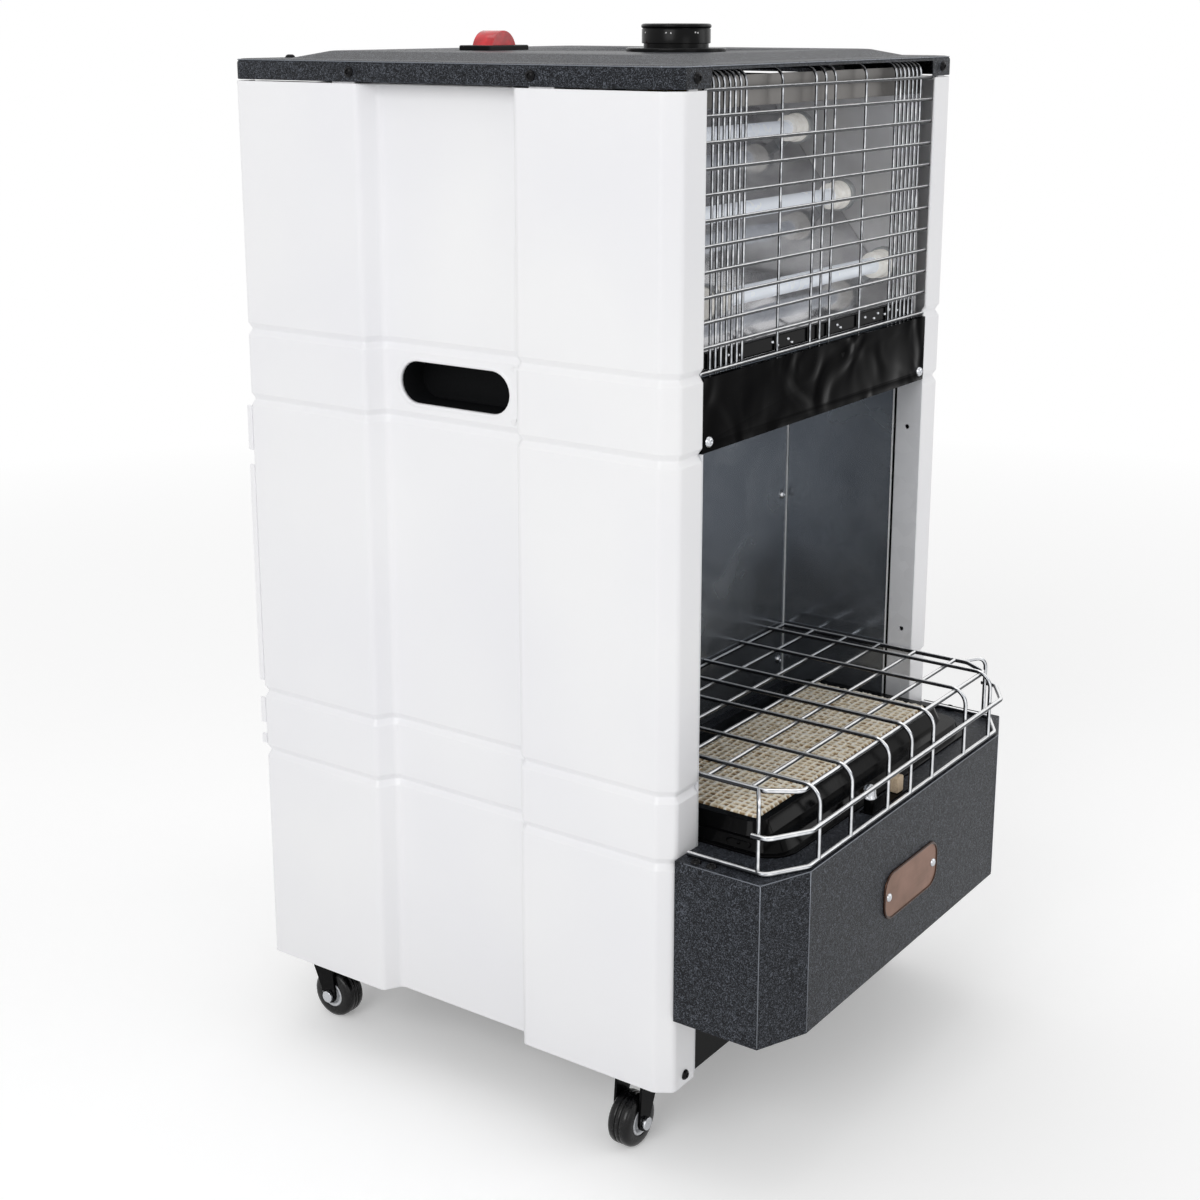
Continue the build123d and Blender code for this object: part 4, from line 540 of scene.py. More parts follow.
# Clear-tinted polycarbonate lens: red, glossy. Light that spreads inside it is a weak emission.
RED = patterned(
    "red_tinted_polycarbonate", "#d4101f", 0.12, 7.0, tones=((0.35, "#b80a18"), (0.7, "#e5202c")),
    IOR=1.585, Transmission_Weight=0.25, Emission_Color=linear("#c00f1c"), Emission_Strength=0.12,
)
CHROME = chrome_wire("chrome_plated_wire", (-0.62, -0.62, 0.05), 0.14)
# The grille's wire stands in the hot chamber's mouth: the same plating, its painted highlight smaller
# at the front and broken into patches by noise.
PATCHY_HIGHLIGHT_CHROME = chrome_wire("chrome_wire_patchy_painted_highlight", (-0.52, -0.52, 0.05), 0.3)
# Bright zinc-plated screws and bolt heads: paler and softer than chrome.
ZINC_BRIGHT = plated("bright_zinc_fasteners", "#c8cace", 0.24, 0.12, 2.0)
MIRROR = mirror_steel()
# Annealed stainless end plates: pale grey, satin, with a faint heat bloom.
ANNEALED = patterned(
    "annealed_stainless_sheet", "#d3d0cc", 0.34, 45.0, (0.26, 0.42),
    ((0.3, "#d3d3d4"), (0.7, "#ececee")), 0.4, distortion=0.6, Metallic=0.2,
)
# The reflector's front flange under the lid: a dull grey, darker than the reflector.
DULL_FLANGE = plated("dull_grey_stainless_flange", "#6f6d6b", 0.4, 0.1, 20.0)
# Cold-rolled stainless lining: dark because it mirrors the dark cavity, with a soft haze.
CAVITY = patterned(
    "satin_stainless_lining", "#8d9299", 0.24, 60.0, (0.14, 0.3, 0.35, 0.7),
    ((0.3, "#858a91"), (0.7, "#9a9fa5")), 0.6, detail=3.0, distortion=0.6, Metallic=0.75,
)
ZINC = zinc_steel("galvanised_sheet", "#a6a9ac", "#bfc1c3", 0.5)
# The hearth's front rails: the same sheet, passivated paler and flatter.
RAIL = zinc_steel("passivated_galvanised_rail", "#dcdde0", "#e2e3e6", 0.1)
# Sheet edges where the hearth's walls are folded, drawn near white as a painted highlight.
FOLD_HIGHLIGHT = zinc_steel("painted_fold_highlight", "#eceef0", "#f6f7f8", 0.1)
# Satin fused-silica tube: milky white with a bluish cast, its scattered light a weak emission.
QUARTZ = patterned(
    "frosted_fused_quartz", "#e6ebf2", 0.2, 12.0, (0.18, 0.34), IOR=1.458,
    Emission_Color=linear("#dfe5ee"), Emission_Strength=0.22,
)
GLAZE = glazed_ceramic()
CORDIERITE = cordierite()
# Pressed steatite insulator: beige, matt with a fine tooth.
STEATITE = patterned(
    "pressed_steatite", "#cdb79a", 0.6, 0.8, tones=((0.3, "#bfa78a"), (0.7, "#dbc8ad")), relief=0.05
)
COPPER = brushed_copper()
# The nameplate's rolled rim: copper of a much darker brown than the field.
DARK_COPPER_RIM = plated("dark_copper_rim", "#3f2e27", 0.26, 0.1, 5.0)
# Machined brass fittings: yellow, half bright, with turning marks too fine to draw.
BRASS = plated("machined_brass", "#b99a52", 0.3, 0.12, 3.0)
# Resistance wire wound on its core: dull brown-grey metal.
ELEMENT = plated("oxidised_resistance_wire", "#5d5048", 0.5, 0.1, 2.0)
# Cast polyurethane tread: black and shiny, with scuffs of a few millimetres.
TYRE = patterned(
    "black_polyurethane_tread", "#0a0a0b", 0.2, 4.0, (0.14, 0.34, 0.35, 0.7), relief=0.03,
    detail=3.0, Specular_IOR_Level=0.3,
)
# Moulded nylon hub: light grey, semi-matt.
NYLON = patterned(
    "light_grey_nylon", "#c3c5c9", 0.42, 2.0, tones=((0.3, "#b8babe"), (0.7, "#ced0d3")),
    relief=0.03, IOR=1.53,
)
# Pad-printed ink: flat white on the knob's black skin.
MARKING = patterned("white_pad_print", "#e8e8e8", 0.5, 0.8, relief=0.01)


# ---------------------------------------------------------------- CAD nodes kept as they are

# The CAD nodes that are seen as they are, by their finish and the edge that rounds their corners.
KEPT = [
    (MATT, 0.4, ["handle_cups"]),
    (MATT, 0.3, ["door_catch"]),
    (ABS, 0.0, ["knob_escutcheon"]),
    (ABS, 0.3, ["switch_bezel"]),
    (RED, 0.6, ["switch_rocker"]),
    (BRASS, 0.3, ["valve_spindle", "valve_push_sleeve", "gas_inlet_pipe"]),
    (BRASS, 0.6, ["gas_valve"]),
    (ZINC, 0.0, ["burner_gas_pipe"]),
    (ZINC, 0.2, ["heater_terminals"]),
    (ZINC, 0.3, ["tube_clips", "door_hinges"]),
    (ZINC, 0.4, ["caster_plates"]),
    (ZINC, 0.5, ["burner_plenum"]),
    (ANNEALED, 0.3, ["reflector_ends"]),
    (QUARTZ, 0.0, ["quartz_tubes"]),
    (GLOSS, 0.4, ["front_fascia"]),
    (CAVITY, 0.3, ["cavity_liner", "cavity_side_walls"]),
    (RAIL, 0.3, ["front_rails"]),
    (HAMMER, 0.7, ["tray_shell", "tray_flange"]),
    (WHITE, 0.4, ["rear_cover", "bottle_door"]),
    (ENAMEL, 0.5, ["base_pan"] + [f"fork_{corner}" for corner in CASTERS]),
    (ZINC_BRIGHT, 0.4, [f"axle_{corner}" for corner in CASTERS]),
]
for finish, edge, names in KEPT:
    for obj in [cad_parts[name] for name in names]:
        obj.data.materials.clear()
        obj.data.materials.append(finish)
        if edge:
            weld = obj.modifiers.new("weld", "WELD")
            weld.merge_threshold = 0.00001
            flat = obj.modifiers.new("flat", "DECIMATE")
            flat.decimate_type = "DISSOLVE"
            flat.angle_limit = math.radians(1.0)
            rounded(obj, edge)


# ---------------------------------------------------------------- modelled surfaces

def stadium(share, grow):
    """Points of the hand slot, share 0..1 of the way round from its lowest middle, grown by grow.

    A straight of 2 * SLOT_STRAIGHT, a half turn of SLOT_R, and the same again; each point moves
    outward along its normal by grow. Returned as (to the right seen from outside, up).
    """
    turn = np.pi * SLOT_R
    length = 4 * SLOT_STRAIGHT + 2 * turn
    way = (share % 1.0) * length
    corners = np.cumsum([SLOT_STRAIGHT, turn, 2 * SLOT_STRAIGHT, turn])
    right = np.clip((way - corners[0]) / turn, 0, 1) * np.pi - np.pi / 2
    left = np.clip((way - corners[2]) / turn, 0, 1) * np.pi + np.pi / 2
    angle = np.where(way < corners[2], right, left)
    across = np.select(
        [way < corners[0], way < corners[1], way < corners[2], way < corners[3]],
        [way, SLOT_STRAIGHT, SLOT_STRAIGHT - (way - corners[1]), -SLOT_STRAIGHT],
        way - length,
    )
    return across + (SLOT_R + grow) * np.cos(angle), (SLOT_R + grow) * np.sin(angle)


def side_panel():
    """The left panel's outer skin: its eased plan outline carried up Z.

    Row z, column k stands at outline(k) + inward normal(k) * depth(z), where depth is 0 but for
    four V grooves. Where the hand slot is, the grid is left out and refilled with rings that go
    from the missing rectangle to the slot's outline and over its rolled rim.
    """
    path = eased(PANEL_CORNERS, PANEL_RADII, 12)
    path = np.vstack([path[:1], path[0] - (1.0, 0.0), path[1:-1], path[-1] - (1.0, 0.0), path[-1:]])
    slot_y = np.linspace(SLOT_Y + PATCH_Y, SLOT_Y - PATCH_Y, PATCH_COLUMNS + 1)
    cut = int(np.nonzero(path[:, 1] < slot_y[0])[0][0])
    patch = np.column_stack([np.full(len(slot_y), RECESS_X), slot_y])
    path = np.vstack([path[:cut], patch, path[cut:]])
    corners = [(PANEL_BOTTOM, 0.0)]
    for middle in GROOVES:
        corners += [(middle - GROOVE_HALF, 0), (middle, GROOVE_DEPTH), (middle + GROOVE_HALF, 0)]
    levels = eased(corners + [(PANEL_TOP, 0.0)], 1.3, 5)
    foot = [(PANEL_BOTTOM, 0.9), (PANEL_BOTTOM + 0.3, 0.25), (PANEL_BOTTOM + 0.9, 0.0)]
    levels = np.vstack([foot, levels[1:-1], [(PANEL_TOP - 1.0, 0.0), (PANEL_TOP, 0.0)]])
    slot_z = np.linspace(SLOT_Z - PATCH_Z, SLOT_Z + PATCH_Z, PATCH_ROWS + 1)
    row = int(np.nonzero(levels[:, 0] > SLOT_Z)[0][0])
    levels = np.vstack([levels[:row], np.column_stack([slot_z, 0 * slot_z]), levels[row:]])
    tangent = unit(np.gradient(path, axis=0))
    inward = np.column_stack([-tangent[:, 1], tangent[:, 0]])
    plan = path[None] + levels[:, 1][:, None, None] * inward[None]
    points = np.concatenate([plan, np.broadcast_to(levels[:, :1, None], plan.shape[:2] + (1,))], -1)
    rows, columns = points.shape[:2]
    faces = grid_faces(rows, columns).reshape(rows - 1, columns - 1, 4)
    last_row, last_column = row + PATCH_ROWS, cut + PATCH_COLUMNS
    keep = np.ones((rows - 1, columns - 1), bool)
    keep[row:last_row, cut:last_column] = False
    number = np.arange(rows * columns).reshape(rows, columns)
    edge = border(number[row:last_row + 1, cut:last_column + 1])
    points = points.reshape(-1, 3)
    rectangle = points[edge]
    step = np.linalg.norm(np.roll(rectangle, -1, 0) - rectangle, axis=1)
    share = (np.cumsum(step) - step - PATCH_Y) / step.sum()
    rolled = [
        (4.3, 0), (3.6, 0), (3.0, 0.1), (2.4, 0.45), (1.6, 0.8), (0.8, 0.65), (0.2, 0.1), (0, -0.8),
        (0, -2.2),
    ]
    count = len(edge)
    rings = []
    for grow, out in rolled:
        right, up = stadium(share, grow)
        rings.append(np.column_stack([np.full(count, RECESS_X - out), SLOT_Y - right, SLOT_Z + up]))
    points = np.vstack([points] + rings)
    numbers = np.vstack([edge, rows * columns + np.arange(count * len(rolled)).reshape(-1, count)])
    slot = grid_faces(len(rolled) + 1, count, close_columns=True)
    return points, faces[keep].tolist() + numbers.ravel()[slot].tolist()


def panel_folds():
    """What is folded from the left panel: its two flanges, screw tabs and rear edge lips."""
    plan = [(x + (0.8 if x < -180 else 0.5), y) for x, y in PANEL_CORNERS[1:-1]]
    plan[0], plan[-1] = (-189.2, 182.2), (-181.6, -182.2)
    outline = plan + [(-165.0, -182.2), (-165.0, 182.2)]
    parts = [slab(outline, z, z + SHEET) for z in (PANEL_BOTTOM + 0.1, PANEL_TOP - 2.0)]
    rear_tab, front_tab = LID_SIDE_SCREWS[0] - 3.0, LID_SIDE_SCREWS[1] - 17.0
    parts += [brick(-188.2, -186.7, y, y + 20.0, 722, 737) for y in (rear_tab, front_tab)]
    parts += [brick(-175.5, -165.0, -181.2, -179.7, 722, 737)]
    parts += [brick(-190.0, -188.0, 181.5, 186.0, low, high) for low, high in LIPS]
    return merged(parts)


def waffle_tiles():
    """Four burner tiles: height over a fine grid, closed with walls and a floor.

    height = tile top + window rise - deep * pocket, where pocket is 1 in the middle of each cell of
    a 5.5 mm lattice and falls to 0 at the ribs as a product of two straight slopes, each cell's
    middle shifted and its size varied a little at random. The pocket value is kept for the
    material.
    """
    rng = np.random.default_rng(11)
    count, gap = 4, 0.4
    pitch = (2 * TILE_HALF + gap) / count
    length = pitch - gap
    cells_x, cells_y, fine = 12, 19, 7
    slope, proud, deep = 1.6, 2.6, 1.7
    parts, depths = [], []
    for index in range(count):
        steps = [np.linspace(0, 1, cells * fine + 1) for cells in (cells_x, cells_y)]
        across, along = np.meshgrid(*steps, indexing="ij")
        wobble = rng.normal(0, 0.07, (cells_x + 2, cells_y + 2, 2))
        cell_i = np.minimum((across * cells_x).astype(int), cells_x - 1)
        cell_j = np.minimum((along * cells_y).astype(int), cells_y - 1)
        shift = wobble[cell_i + 1, cell_j + 1]
        du = np.abs((across * cells_x) % 1.0 - 0.5 + shift[..., 0] * 0.8)
        dv = np.abs((along * cells_y) % 1.0 - 0.5 + shift[..., 1] * 0.8)
        size = 0.41 + rng.normal(0, 0.03, (cells_x, cells_y))[cell_i, cell_j]
        pocket = np.clip((size - du) / 0.11, 0, 1) * np.clip((size - dv) / 0.11, 0, 1)
        pocket[[0, -1]], pocket[:, [0, -1]] = 0, 0
        x = (index - (count - 1) / 2) * pitch + (across - 0.5) * length
        y = BURNER_Y + (along - 0.5) * TILE_DEPTH
        rise_x = np.clip((WINDOW_X - np.abs(x)) / slope, 0, 1)
        rise = rise_x * np.clip((WINDOW_Y - np.abs(y - BURNER_Y)) / slope, 0, 1)
        chip = rng.normal(0, 0.16, x.shape) * (1 - pocket)
        z = TILE_TOP + rise * (proud + chip) - deep * pocket
        groove = np.clip(1 - np.minimum(across, 1 - across) * length / 0.8, 0, 1)
        z -= 1.2 * groove * (rise > 0.5)
        rows, columns = x.shape
        points = np.stack([x, y, z], -1).reshape(-1, 3)
        rim = border(np.arange(rows * columns).reshape(rows, columns).T)
        low = points[rim].copy()
        low[:, 2] = TILE_TOP - TILE_THICK
        base = rows * columns + np.arange(len(rim))
        walls = np.stack([rim, base, np.roll(base, -1), np.roll(rim, -1)], -1)
        faces = grid_faces(rows, columns)[:, ::-1].tolist() + walls.tolist() + [base[::-1].tolist()]
        parts.append((np.vstack([points, low]), faces))
        depths.append(np.concatenate([pocket.ravel(), np.zeros(len(rim))]))
    return merged(parts), np.concatenate(depths)


def housing():
    """The pressed burner pan: rounded rectangles joined ring by ring, from rim to window edge."""
    levels = [
        (151, 82, 24, TRAY_TOP + 0.1), (151, 82, 24, 235.4), (147, 77.5, 21, 235.4),
        (143.4, 74, 17.5, 242.0), (140.2, 62, 15, 242.0), (136.4, 57.4, 11.5, RIDGE_TOP),
        (WINDOW_X + 0.2, WINDOW_Y + 0.2, 2.5, RIDGE_TOP), (WINDOW_X, WINDOW_Y, 2.4, 249.6),
    ]
    return pressed(levels, (0, BURNER_Y), steps=9)


def guard_wires():
    """The guard's rails, cross wires, long wires and corner posts, all round wire."""
    reach, thick, thin = 2.65, 1.75, 1.5
    parts = []
    for half, front, corner, rear, z in (
        (GUARD_FOOT_HALF, GUARD_FRONT, (28, 17), -186.0, GUARD_BASE),
        (GUARD_FOOT_HALF + reach, GUARD_FRONT - reach, (28, 17), -235.5, GUARD_MIDDLE),
        (GUARD_HALF, -252.0, (13, 20), GUARD_BACK, GUARD_TOP),
    ):
        rail = symmetric([(-half, rear), (-half, front + corner[1]), (corner[0] - half, front)], z)
        parts.append(wire(bent(rail, 8.0), thick, UP, 12))
    for back in (2.3, 29.8, 59.8, 89.8, 120.8, 154.8):
        parts.append(wire(level(GUARD_HALF + 0.6, GUARD_BACK - back, GUARD_TOP), thin, UP, 12))
    for x in (-133.0, -89.0, -35.0, 0.0, 35.0, 89.0, 133.0):
        upper = GUARD_TOP + 2.4
        path = [(x, GUARD_BACK, upper), (x, GUARD_FRONT, upper), (x, GUARD_FRONT, GUARD_BASE)]
        parts.append(wire(bent(path, 12.0, 9), thin, RIGHT, 12))
    for side in (-1, 1):
        foot, head = np.array([side * GUARD_FOOT_HALF, -239.0]), np.array([side * GUARD_HALF, -227.0])
        post = [(*foot, GUARD_BASE), (*foot, GUARD_TOP), (*head, GUARD_TOP)]
        across = np.cross(UP, (*(head - foot), 0))
        parts.append(wire(bent(post, 8.0, 9), thin, across, 12))
    return merged(parts)


def grille_wires():
    """Twelve level wires, and thinner uprights that hook back over the top."""
    pitch, hook, thick, thin = 15.8, GRILLE_TOP + 11, 1.2, 1.0
    heights = [GRILLE_TOP - row * pitch for row in range(12)]
    parts = [wire(level(GRILLE_HALF, GRILLE_Y, z), thick, UP) for z in heights]
    group = [142.5 - k * 6.5 for k in range(7)]
    y, foot = GRILLE_Y + 2.0, 549.0
    for x in [-x for x in group] + [-58.0, -13.5, 0.0, 13.5, 58.0] + group:
        path = bent([(x, y, foot), (x, y, hook), (x, y + 22, hook)], 8.0, 7)
        parts.append(wire(path, thin, RIGHT))
    return merged(parts)


def coils():
    """Resistance wire wound round each ceramic core: a helix of 2.6 mm pitch, radius 3.1 mm."""
    turns, steps, sides = 92, 14, 6
    radius, strand, core = 3.1, 0.45, 2.5
    way = np.linspace(0, 1, turns * steps + 1)
    angle = way * turns * 2 * np.pi
    ring = np.linspace(0, 2 * np.pi, sides, endpoint=False)[None, :, None]
    faces = [face[::-1] for face in ring_faces(len(way), sides, ends=True)]
    radial = np.column_stack([0 * way, np.cos(angle), np.sin(angle)])
    section = [(0, -TUBE_HALF), (core, -TUBE_HALF), (core, TUBE_HALF), (0, TUBE_HALF)]
    parts = []
    for y, z in TUBES:
        along = (way - 0.5) * 2 * (TUBE_HALF - 1)
        centre = np.column_stack([along, y + radius * np.cos(angle), z + radius * np.sin(angle)])
        other = np.cross(unit(np.gradient(centre, axis=0)), radial)
        around = np.cos(ring) * radial[:, None] + np.sin(ring) * other[:, None]
        parts.append(((centre[:, None] + strand * around).reshape(-1, 3), faces))
        parts.append(turned(section, 16, "x", (0, y, z)))
    return merged(parts)


def end_caps():
    """Glazed caps: a collared barrel round each tube end, closed by a rounded outer end."""
    profile = [
        (5.95, -9.9), (5.95, -26.0), (9.0, -26.0), (9.6, -25.4), (9.6, -16.5), (9.9, -15.4),
        (10.5, -14.6), (10.5, -2.6), (10.2, -1.3), (9.4, -0.5), (8.2, -0.1), (4.0, 0.0), (0.0, 0.0),
    ]
    return merged([both(turned(profile, 40, "x", (CAP_END, y, z))) for y, z in TUBES])


def knob_form():
    """The knob turned round its axis: bored under, with a rounded cap above a fine shadow line."""
    profile = [
        (0, 10.2), (4.05, 10.2), (4.05, 0.4), (4.4, 0.0), (19.6, 0.0), (19.9, 0.3), (19.9, 4.5),
        (22.5, 4.5), (22.5, 0.2), (22.9, 0.0), (23.5, 0.3), (23.5, 9.3), (23.3, 9.6), (23.0, 9.8),
        (23.0, 10.1), (23.5, 10.3), (23.9, 10.9), (24.0, 11.5), (23.8, 12.2), (23.2, 12.8),
        (22.2, 13.1), (20.8, 13.2), (19.6, 13.0), (18.8, 12.9), (0, 12.9),
    ]
    return turned(profile, 96, "z", (*KNOB, KNOB_BOTTOM))


def knob_dots():
    """Small printed dots on the knob's side, each a low disc facing outward at an angle."""
    ring = np.linspace(0, 2 * np.pi, 12, endpoint=False)[:, None]
    faces = ring_faces(2, 12, ends=True)
    parts = []
    for degrees, height in ((196, 7.2), (204, 7.0), (246, 7.4), (251, 7.1), (150, 7.2)):
        turn = math.radians(degrees)
        out = np.array([math.cos(turn), math.sin(turn), 0.0])
        disc = np.cos(ring) * np.cross(UP, out) + np.sin(ring) * UP
        centre = out * 23.35 + (*KNOB, KNOB_BOTTOM + height)
        parts.append((np.vstack([centre + 0.62 * disc, centre + out * 0.3 + 0.5 * disc]), faces))
    return merged(parts)


def at_caster(name, part):
    """A wheel form, drawn round the Y axis at the origin, put at its caster's axle."""
    x, y, turn = CASTERS[name]
    cos, sin = math.cos(math.radians(turn)), math.sin(math.radians(turn))
    points, faces = part
    px, py, pz = (points + (TRAIL, 0, WHEEL_R)).T
    return np.column_stack([x + cos * px - sin * py, y + sin * px + cos * py, pz]), faces


def wheel_form(half, sides, middle=()):
    """A form turned round Y: half its (radius, height) profile, its middle, and the same again."""
    profile = [(r, -h) for r, h in half] + list(middle) + half[::-1]
    return turned(profile + profile[:1], sides, "y")


def tyre_form():
    """Tread: a barrel with rounded shoulders and two fine grooves round its middle."""
    return wheel_form([
        (10.5, 9.0), (12.5, 9.0), (15.2, 8.8), (17.0, 8.1), (18.3, 6.9), (18.9, 5.4), (19.0, 3.6),
        (19.0, 2.5), (18.7, 2.2), (18.2, 2.0), (18.2, 1.6), (18.7, 1.3), (18.9, 1.1),
    ], 64, middle=[(18.95, 0.0)])


def hub_form():
    """Hub: a pale raised ring round a sunken web and a boss for the axle."""
    return wheel_form([
        (2.6, 8.2), (5.2, 8.2), (5.6, 7.9), (5.8, 6.4), (6.4, 6.0), (7.2, 6.2), (7.7, 8.3),
        (8.4, 8.9), (9.6, 8.9), (10.3, 8.3), (10.45, 7.4),
    ], 48)


def lid_skin():
    """The lid's outer skin: its plan, with front corners cut 8 by 12 and eased, ring by ring.

    Ring k is the plan moved in by inset(k) at height z(k). Between the lugs the front wall is
    only 3 mm high, so there the low rings gather just under the top edge. The last ring is a
    circle round the knob's spindle, each point in the direction of the outline point it joins.
    """
    lug_end, wall_foot, hole = 153.0, 736.9, 11.5

    def ring(inset, z, radius=5):
        half, front, rear = SIDE_X - inset, FRONT_Y + inset, REAR_Y - inset
        lug = min(lug_end, half - 12.0)
        corners = [(0, rear), (-half, rear), (-half, front + 12), (8 - half, front), (0, front)]
        left = bent([(x, y, z) for x, y in corners], (radius, 4, 4), 5)[:-1]
        middle = np.array([(x, front, z) for x in (-lug, 1 - lug, lug - 1, lug)])
        around = np.vstack([left, middle, left[:0:-1] * (-1, 1, 1)])
        high = (np.abs(around[:, 0]) < lug_end - 0.4) & (around[:, 1] < 0) & (z < wall_foot + 0.6)
        around[:, 2] = np.where(high, wall_foot + (z - 726.0) * 0.03, z)
        return around
    edge = [
        (0.7, 726.0), (0.2, 726.1), (0.0, 726.5), (0.0, 736.8), (0.25, 738.1), (0.95, 739.2),
        (2.1, 739.85), (3.4, LID_TOP),
    ]
    top = [(23.0, LID_TOP), (24.5, 740.2), (43.0, 744.75), (45.0, PLATEAU_Z)]
    rings = [ring(*place) for place in edge] + [ring(*place, radius=12) for place in top]
    way = unit(rings[-1][:, :2] - KNOB)
    rings.append(np.column_stack([KNOB + hole * way, np.full(len(way), PLATEAU_Z)]))
    return np.concatenate(rings), ring_faces(len(rings), len(way))


def screws(places):
    """Round-headed screws, 7.4 mm across with a sunk drive, each at a place and facing a way."""
    head = [
        (3.7, 0), (3.6, 0.4), (3.2, 1.15), (2.5, 1.85), (1.7, 2.15), (1.45, 1.95), (1.25, 1.1),
        (0.8, 0.9), (0, 0.9),
    ]
    parts = []
    for place, way in places:
        if way[0] == "-":
            parts.append(faced(turned(head, 20, way[1]), place))
        else:
            parts.append(turned(head, 20, way, place))
    return merged(parts)


def dark_screws():
    """Screws of the lid, the panels' front strips, the tray and the rear cover."""
    places = []
    for side, outward in ((-1, "-x"), (1, "x")):
        places += [((side * SIDE_X, y, LID_SCREW_Z), outward) for y in LID_SIDE_SCREWS]
        places += [((side * 168.5, FRONT_Y, LID_SCREW_Z), "-y"), ((side * 169.0, FRONT_Y, 70.0), "-y")]
        places += [((side * 179.2, y, TRAY_TOP), "z") for y in (-196.0, -208.0)]
        places += [((side * 181.0, 184.7, z), "y") for z in REAR_SCREWS]
    places += [((*spot, LID_TOP), "z") for spot in ((170.0, -20.0), (-20.0, 168.0), (-150.0, 168.0))]
    return screws(places)


def bright_screws():
    """Screws of the black fascia and of the hearth's back wall."""
    spots = [(side, FRONT_Y, 507.5) for side in (-1, 1)]
    spots += [(side, CAVITY_BACK - 1.0, z) for side in (-1, 1) for z in (395.0, 255.0)]
    return screws([((side * 150.0, y, z), "-y") for side, y, z in spots])


def reflector_sheet():
    """The reflector: its section, front lip to roof, eased at each fold and carried along X."""
    section = [(-175.0, 551.4), (-165.7, 551.4), (-39.9, 713.8), (REFLECTOR_FRONT, 713.8)]
    path = eased(section, (16.0, 9.0), 9)
    right = [0, 50, 100, REFLECTOR_HALF - 1, REFLECTOR_HALF]
    across = np.array([-x for x in right[:0:-1]] + right)
    points = np.stack(np.broadcast_arrays(across[None, :], path[:, :1], path[:, 1:]), -1)
    return points.reshape(-1, 3), grid_faces(len(path), len(across)).tolist()


def stud_rail():
    """The black rail behind the grille's foot, and the small studs pressed along it."""
    front = -176.8
    dome = [(1.25, 0.0), (1.15, 0.5), (0.8, 0.95), (0.35, 1.15), (0.0, 1.2)]
    spots = (
        (-118, 558), (-104, 556), (-62, 558.5), (-55, 555.5), (-41, 558), (-36, 555), (28, 558.5),
        (33, 556), (70, 558.5), (84, 556), (90, 559), (101, 557), (108, 559.5), (121, 557.5),
    )
    studs = merged([faced(turned(dome, 10, "y"), (x, front, z)) for x, z in spots])
    return brick(-149.0, 149.0, front, -171.5, 552.2, 562.5), studs


def seams():
    """Folded edges of the hearth, where its back meets each side and behind each rail, drawn bright as
    a painted highlight.

    The second part is a black strip of painted shadow in the gap between that edge and the rail.
    """
    folds = [brick(156.3, 157.1, *y, *HEARTH) for y in ((-68.0, -66.4), (-160.6, -159.2))]
    return both(merged(folds)), both(brick(155.9, 156.6, -162.6, -160.9, *HEARTH))


def nameplate_form():
    """The plate's sunk field, and its rolled rim 0.65 mm prouder, both facing the front."""
    def facing(part):
        points, faces = part
        x, z, out = points.T
        return np.column_stack([PLATE_X + x, TRAY_FRONT - out, PLATE_Z + z]), faces
    field = pressed([(40.6, 16.6, 11.6, 0.0), (40.6, 16.6, 11.6, 0.75)], (0, 0), close=True)
    rim = pressed([
        (42, 18, 13, 0.0), (42, 18, 13, 0.9), (41.7, 17.7, 12.7, 1.25), (41.2, 17.2, 12.2, 1.4),
        (40.6, 16.6, 11.6, 1.3), (40.1, 16.1, 11.1, 0.9), (40.0, 16.0, 11.0, 0.6),
    ], (0, 0))
    return facing(field), facing(rim)


def rivets():
    """Two domed rivets, 6.4 mm across."""
    dome = [(3.2, 0.6), (3.15, 1.1), (2.7, 1.75), (1.9, 2.2), (1.0, 2.4), (0.0, 2.45)]
    places = [(PLATE_X + x, TRAY_FRONT, PLATE_Z) for x in (-35.0, 35.0)]
    return merged([faced(turned(dome, 28, "y"), place) for place in places])


def pilot():
    """The pilot's black bracket and stem, and its plated dome, a short turned bullet."""
    foot = brick(-46.0, 12.0, -255.5, -245.5, TRAY_TOP, 235.0)
    stem = turned([(0, 0), (3.6, 0), (3.6, 12.0), (0, 12.0)], 20, "z", (*PILOT, 234.6))
    bullet = [
        (0, 0), (4.6, 0), (5.2, 0.5), (5.2, 1.6), (4.8, 2.1), (4.8, 4.6), (4.5, 6.6), (3.7, 8.3),
        (2.4, 9.5), (1.2, 9.95), (0, 10.1),
    ]
    return merged([foot, stem]), turned(bullet, 36, "z", (*PILOT, 243.6))


def painted_edge_highlights():
    """Fine bright beads of painted highlight: the tray's upper edge and corners, the lid's edge."""
    tray = [(-TRAY_HALF, -190.0), (-TRAY_HALF, TRAY_EDGE[1]), (TRAY_EDGE[0], -263.5)]
    lid = [(-80.0, 182.3), (-189.3, 182.3), (-189.3, -170.6), (-181.7, -182.3)]
    parts = [
        wire(bent(symmetric(tray, 233.5), 1.0, 3), 0.42, UP, 8),
        wire(bent(symmetric(lid, 739.2), 4.0, 5), 0.4, UP, 8),
    ]
    for x, y in ((-TRAY_HALF - 0.05, TRAY_EDGE[1]), (TRAY_EDGE[0], -263.55)):
        parts.append(both(wire([(x, y, 119.0), (x, y, 176.0), (x, y, 233.0)], 0.36, RIGHT, 8)))
    return merged(parts)


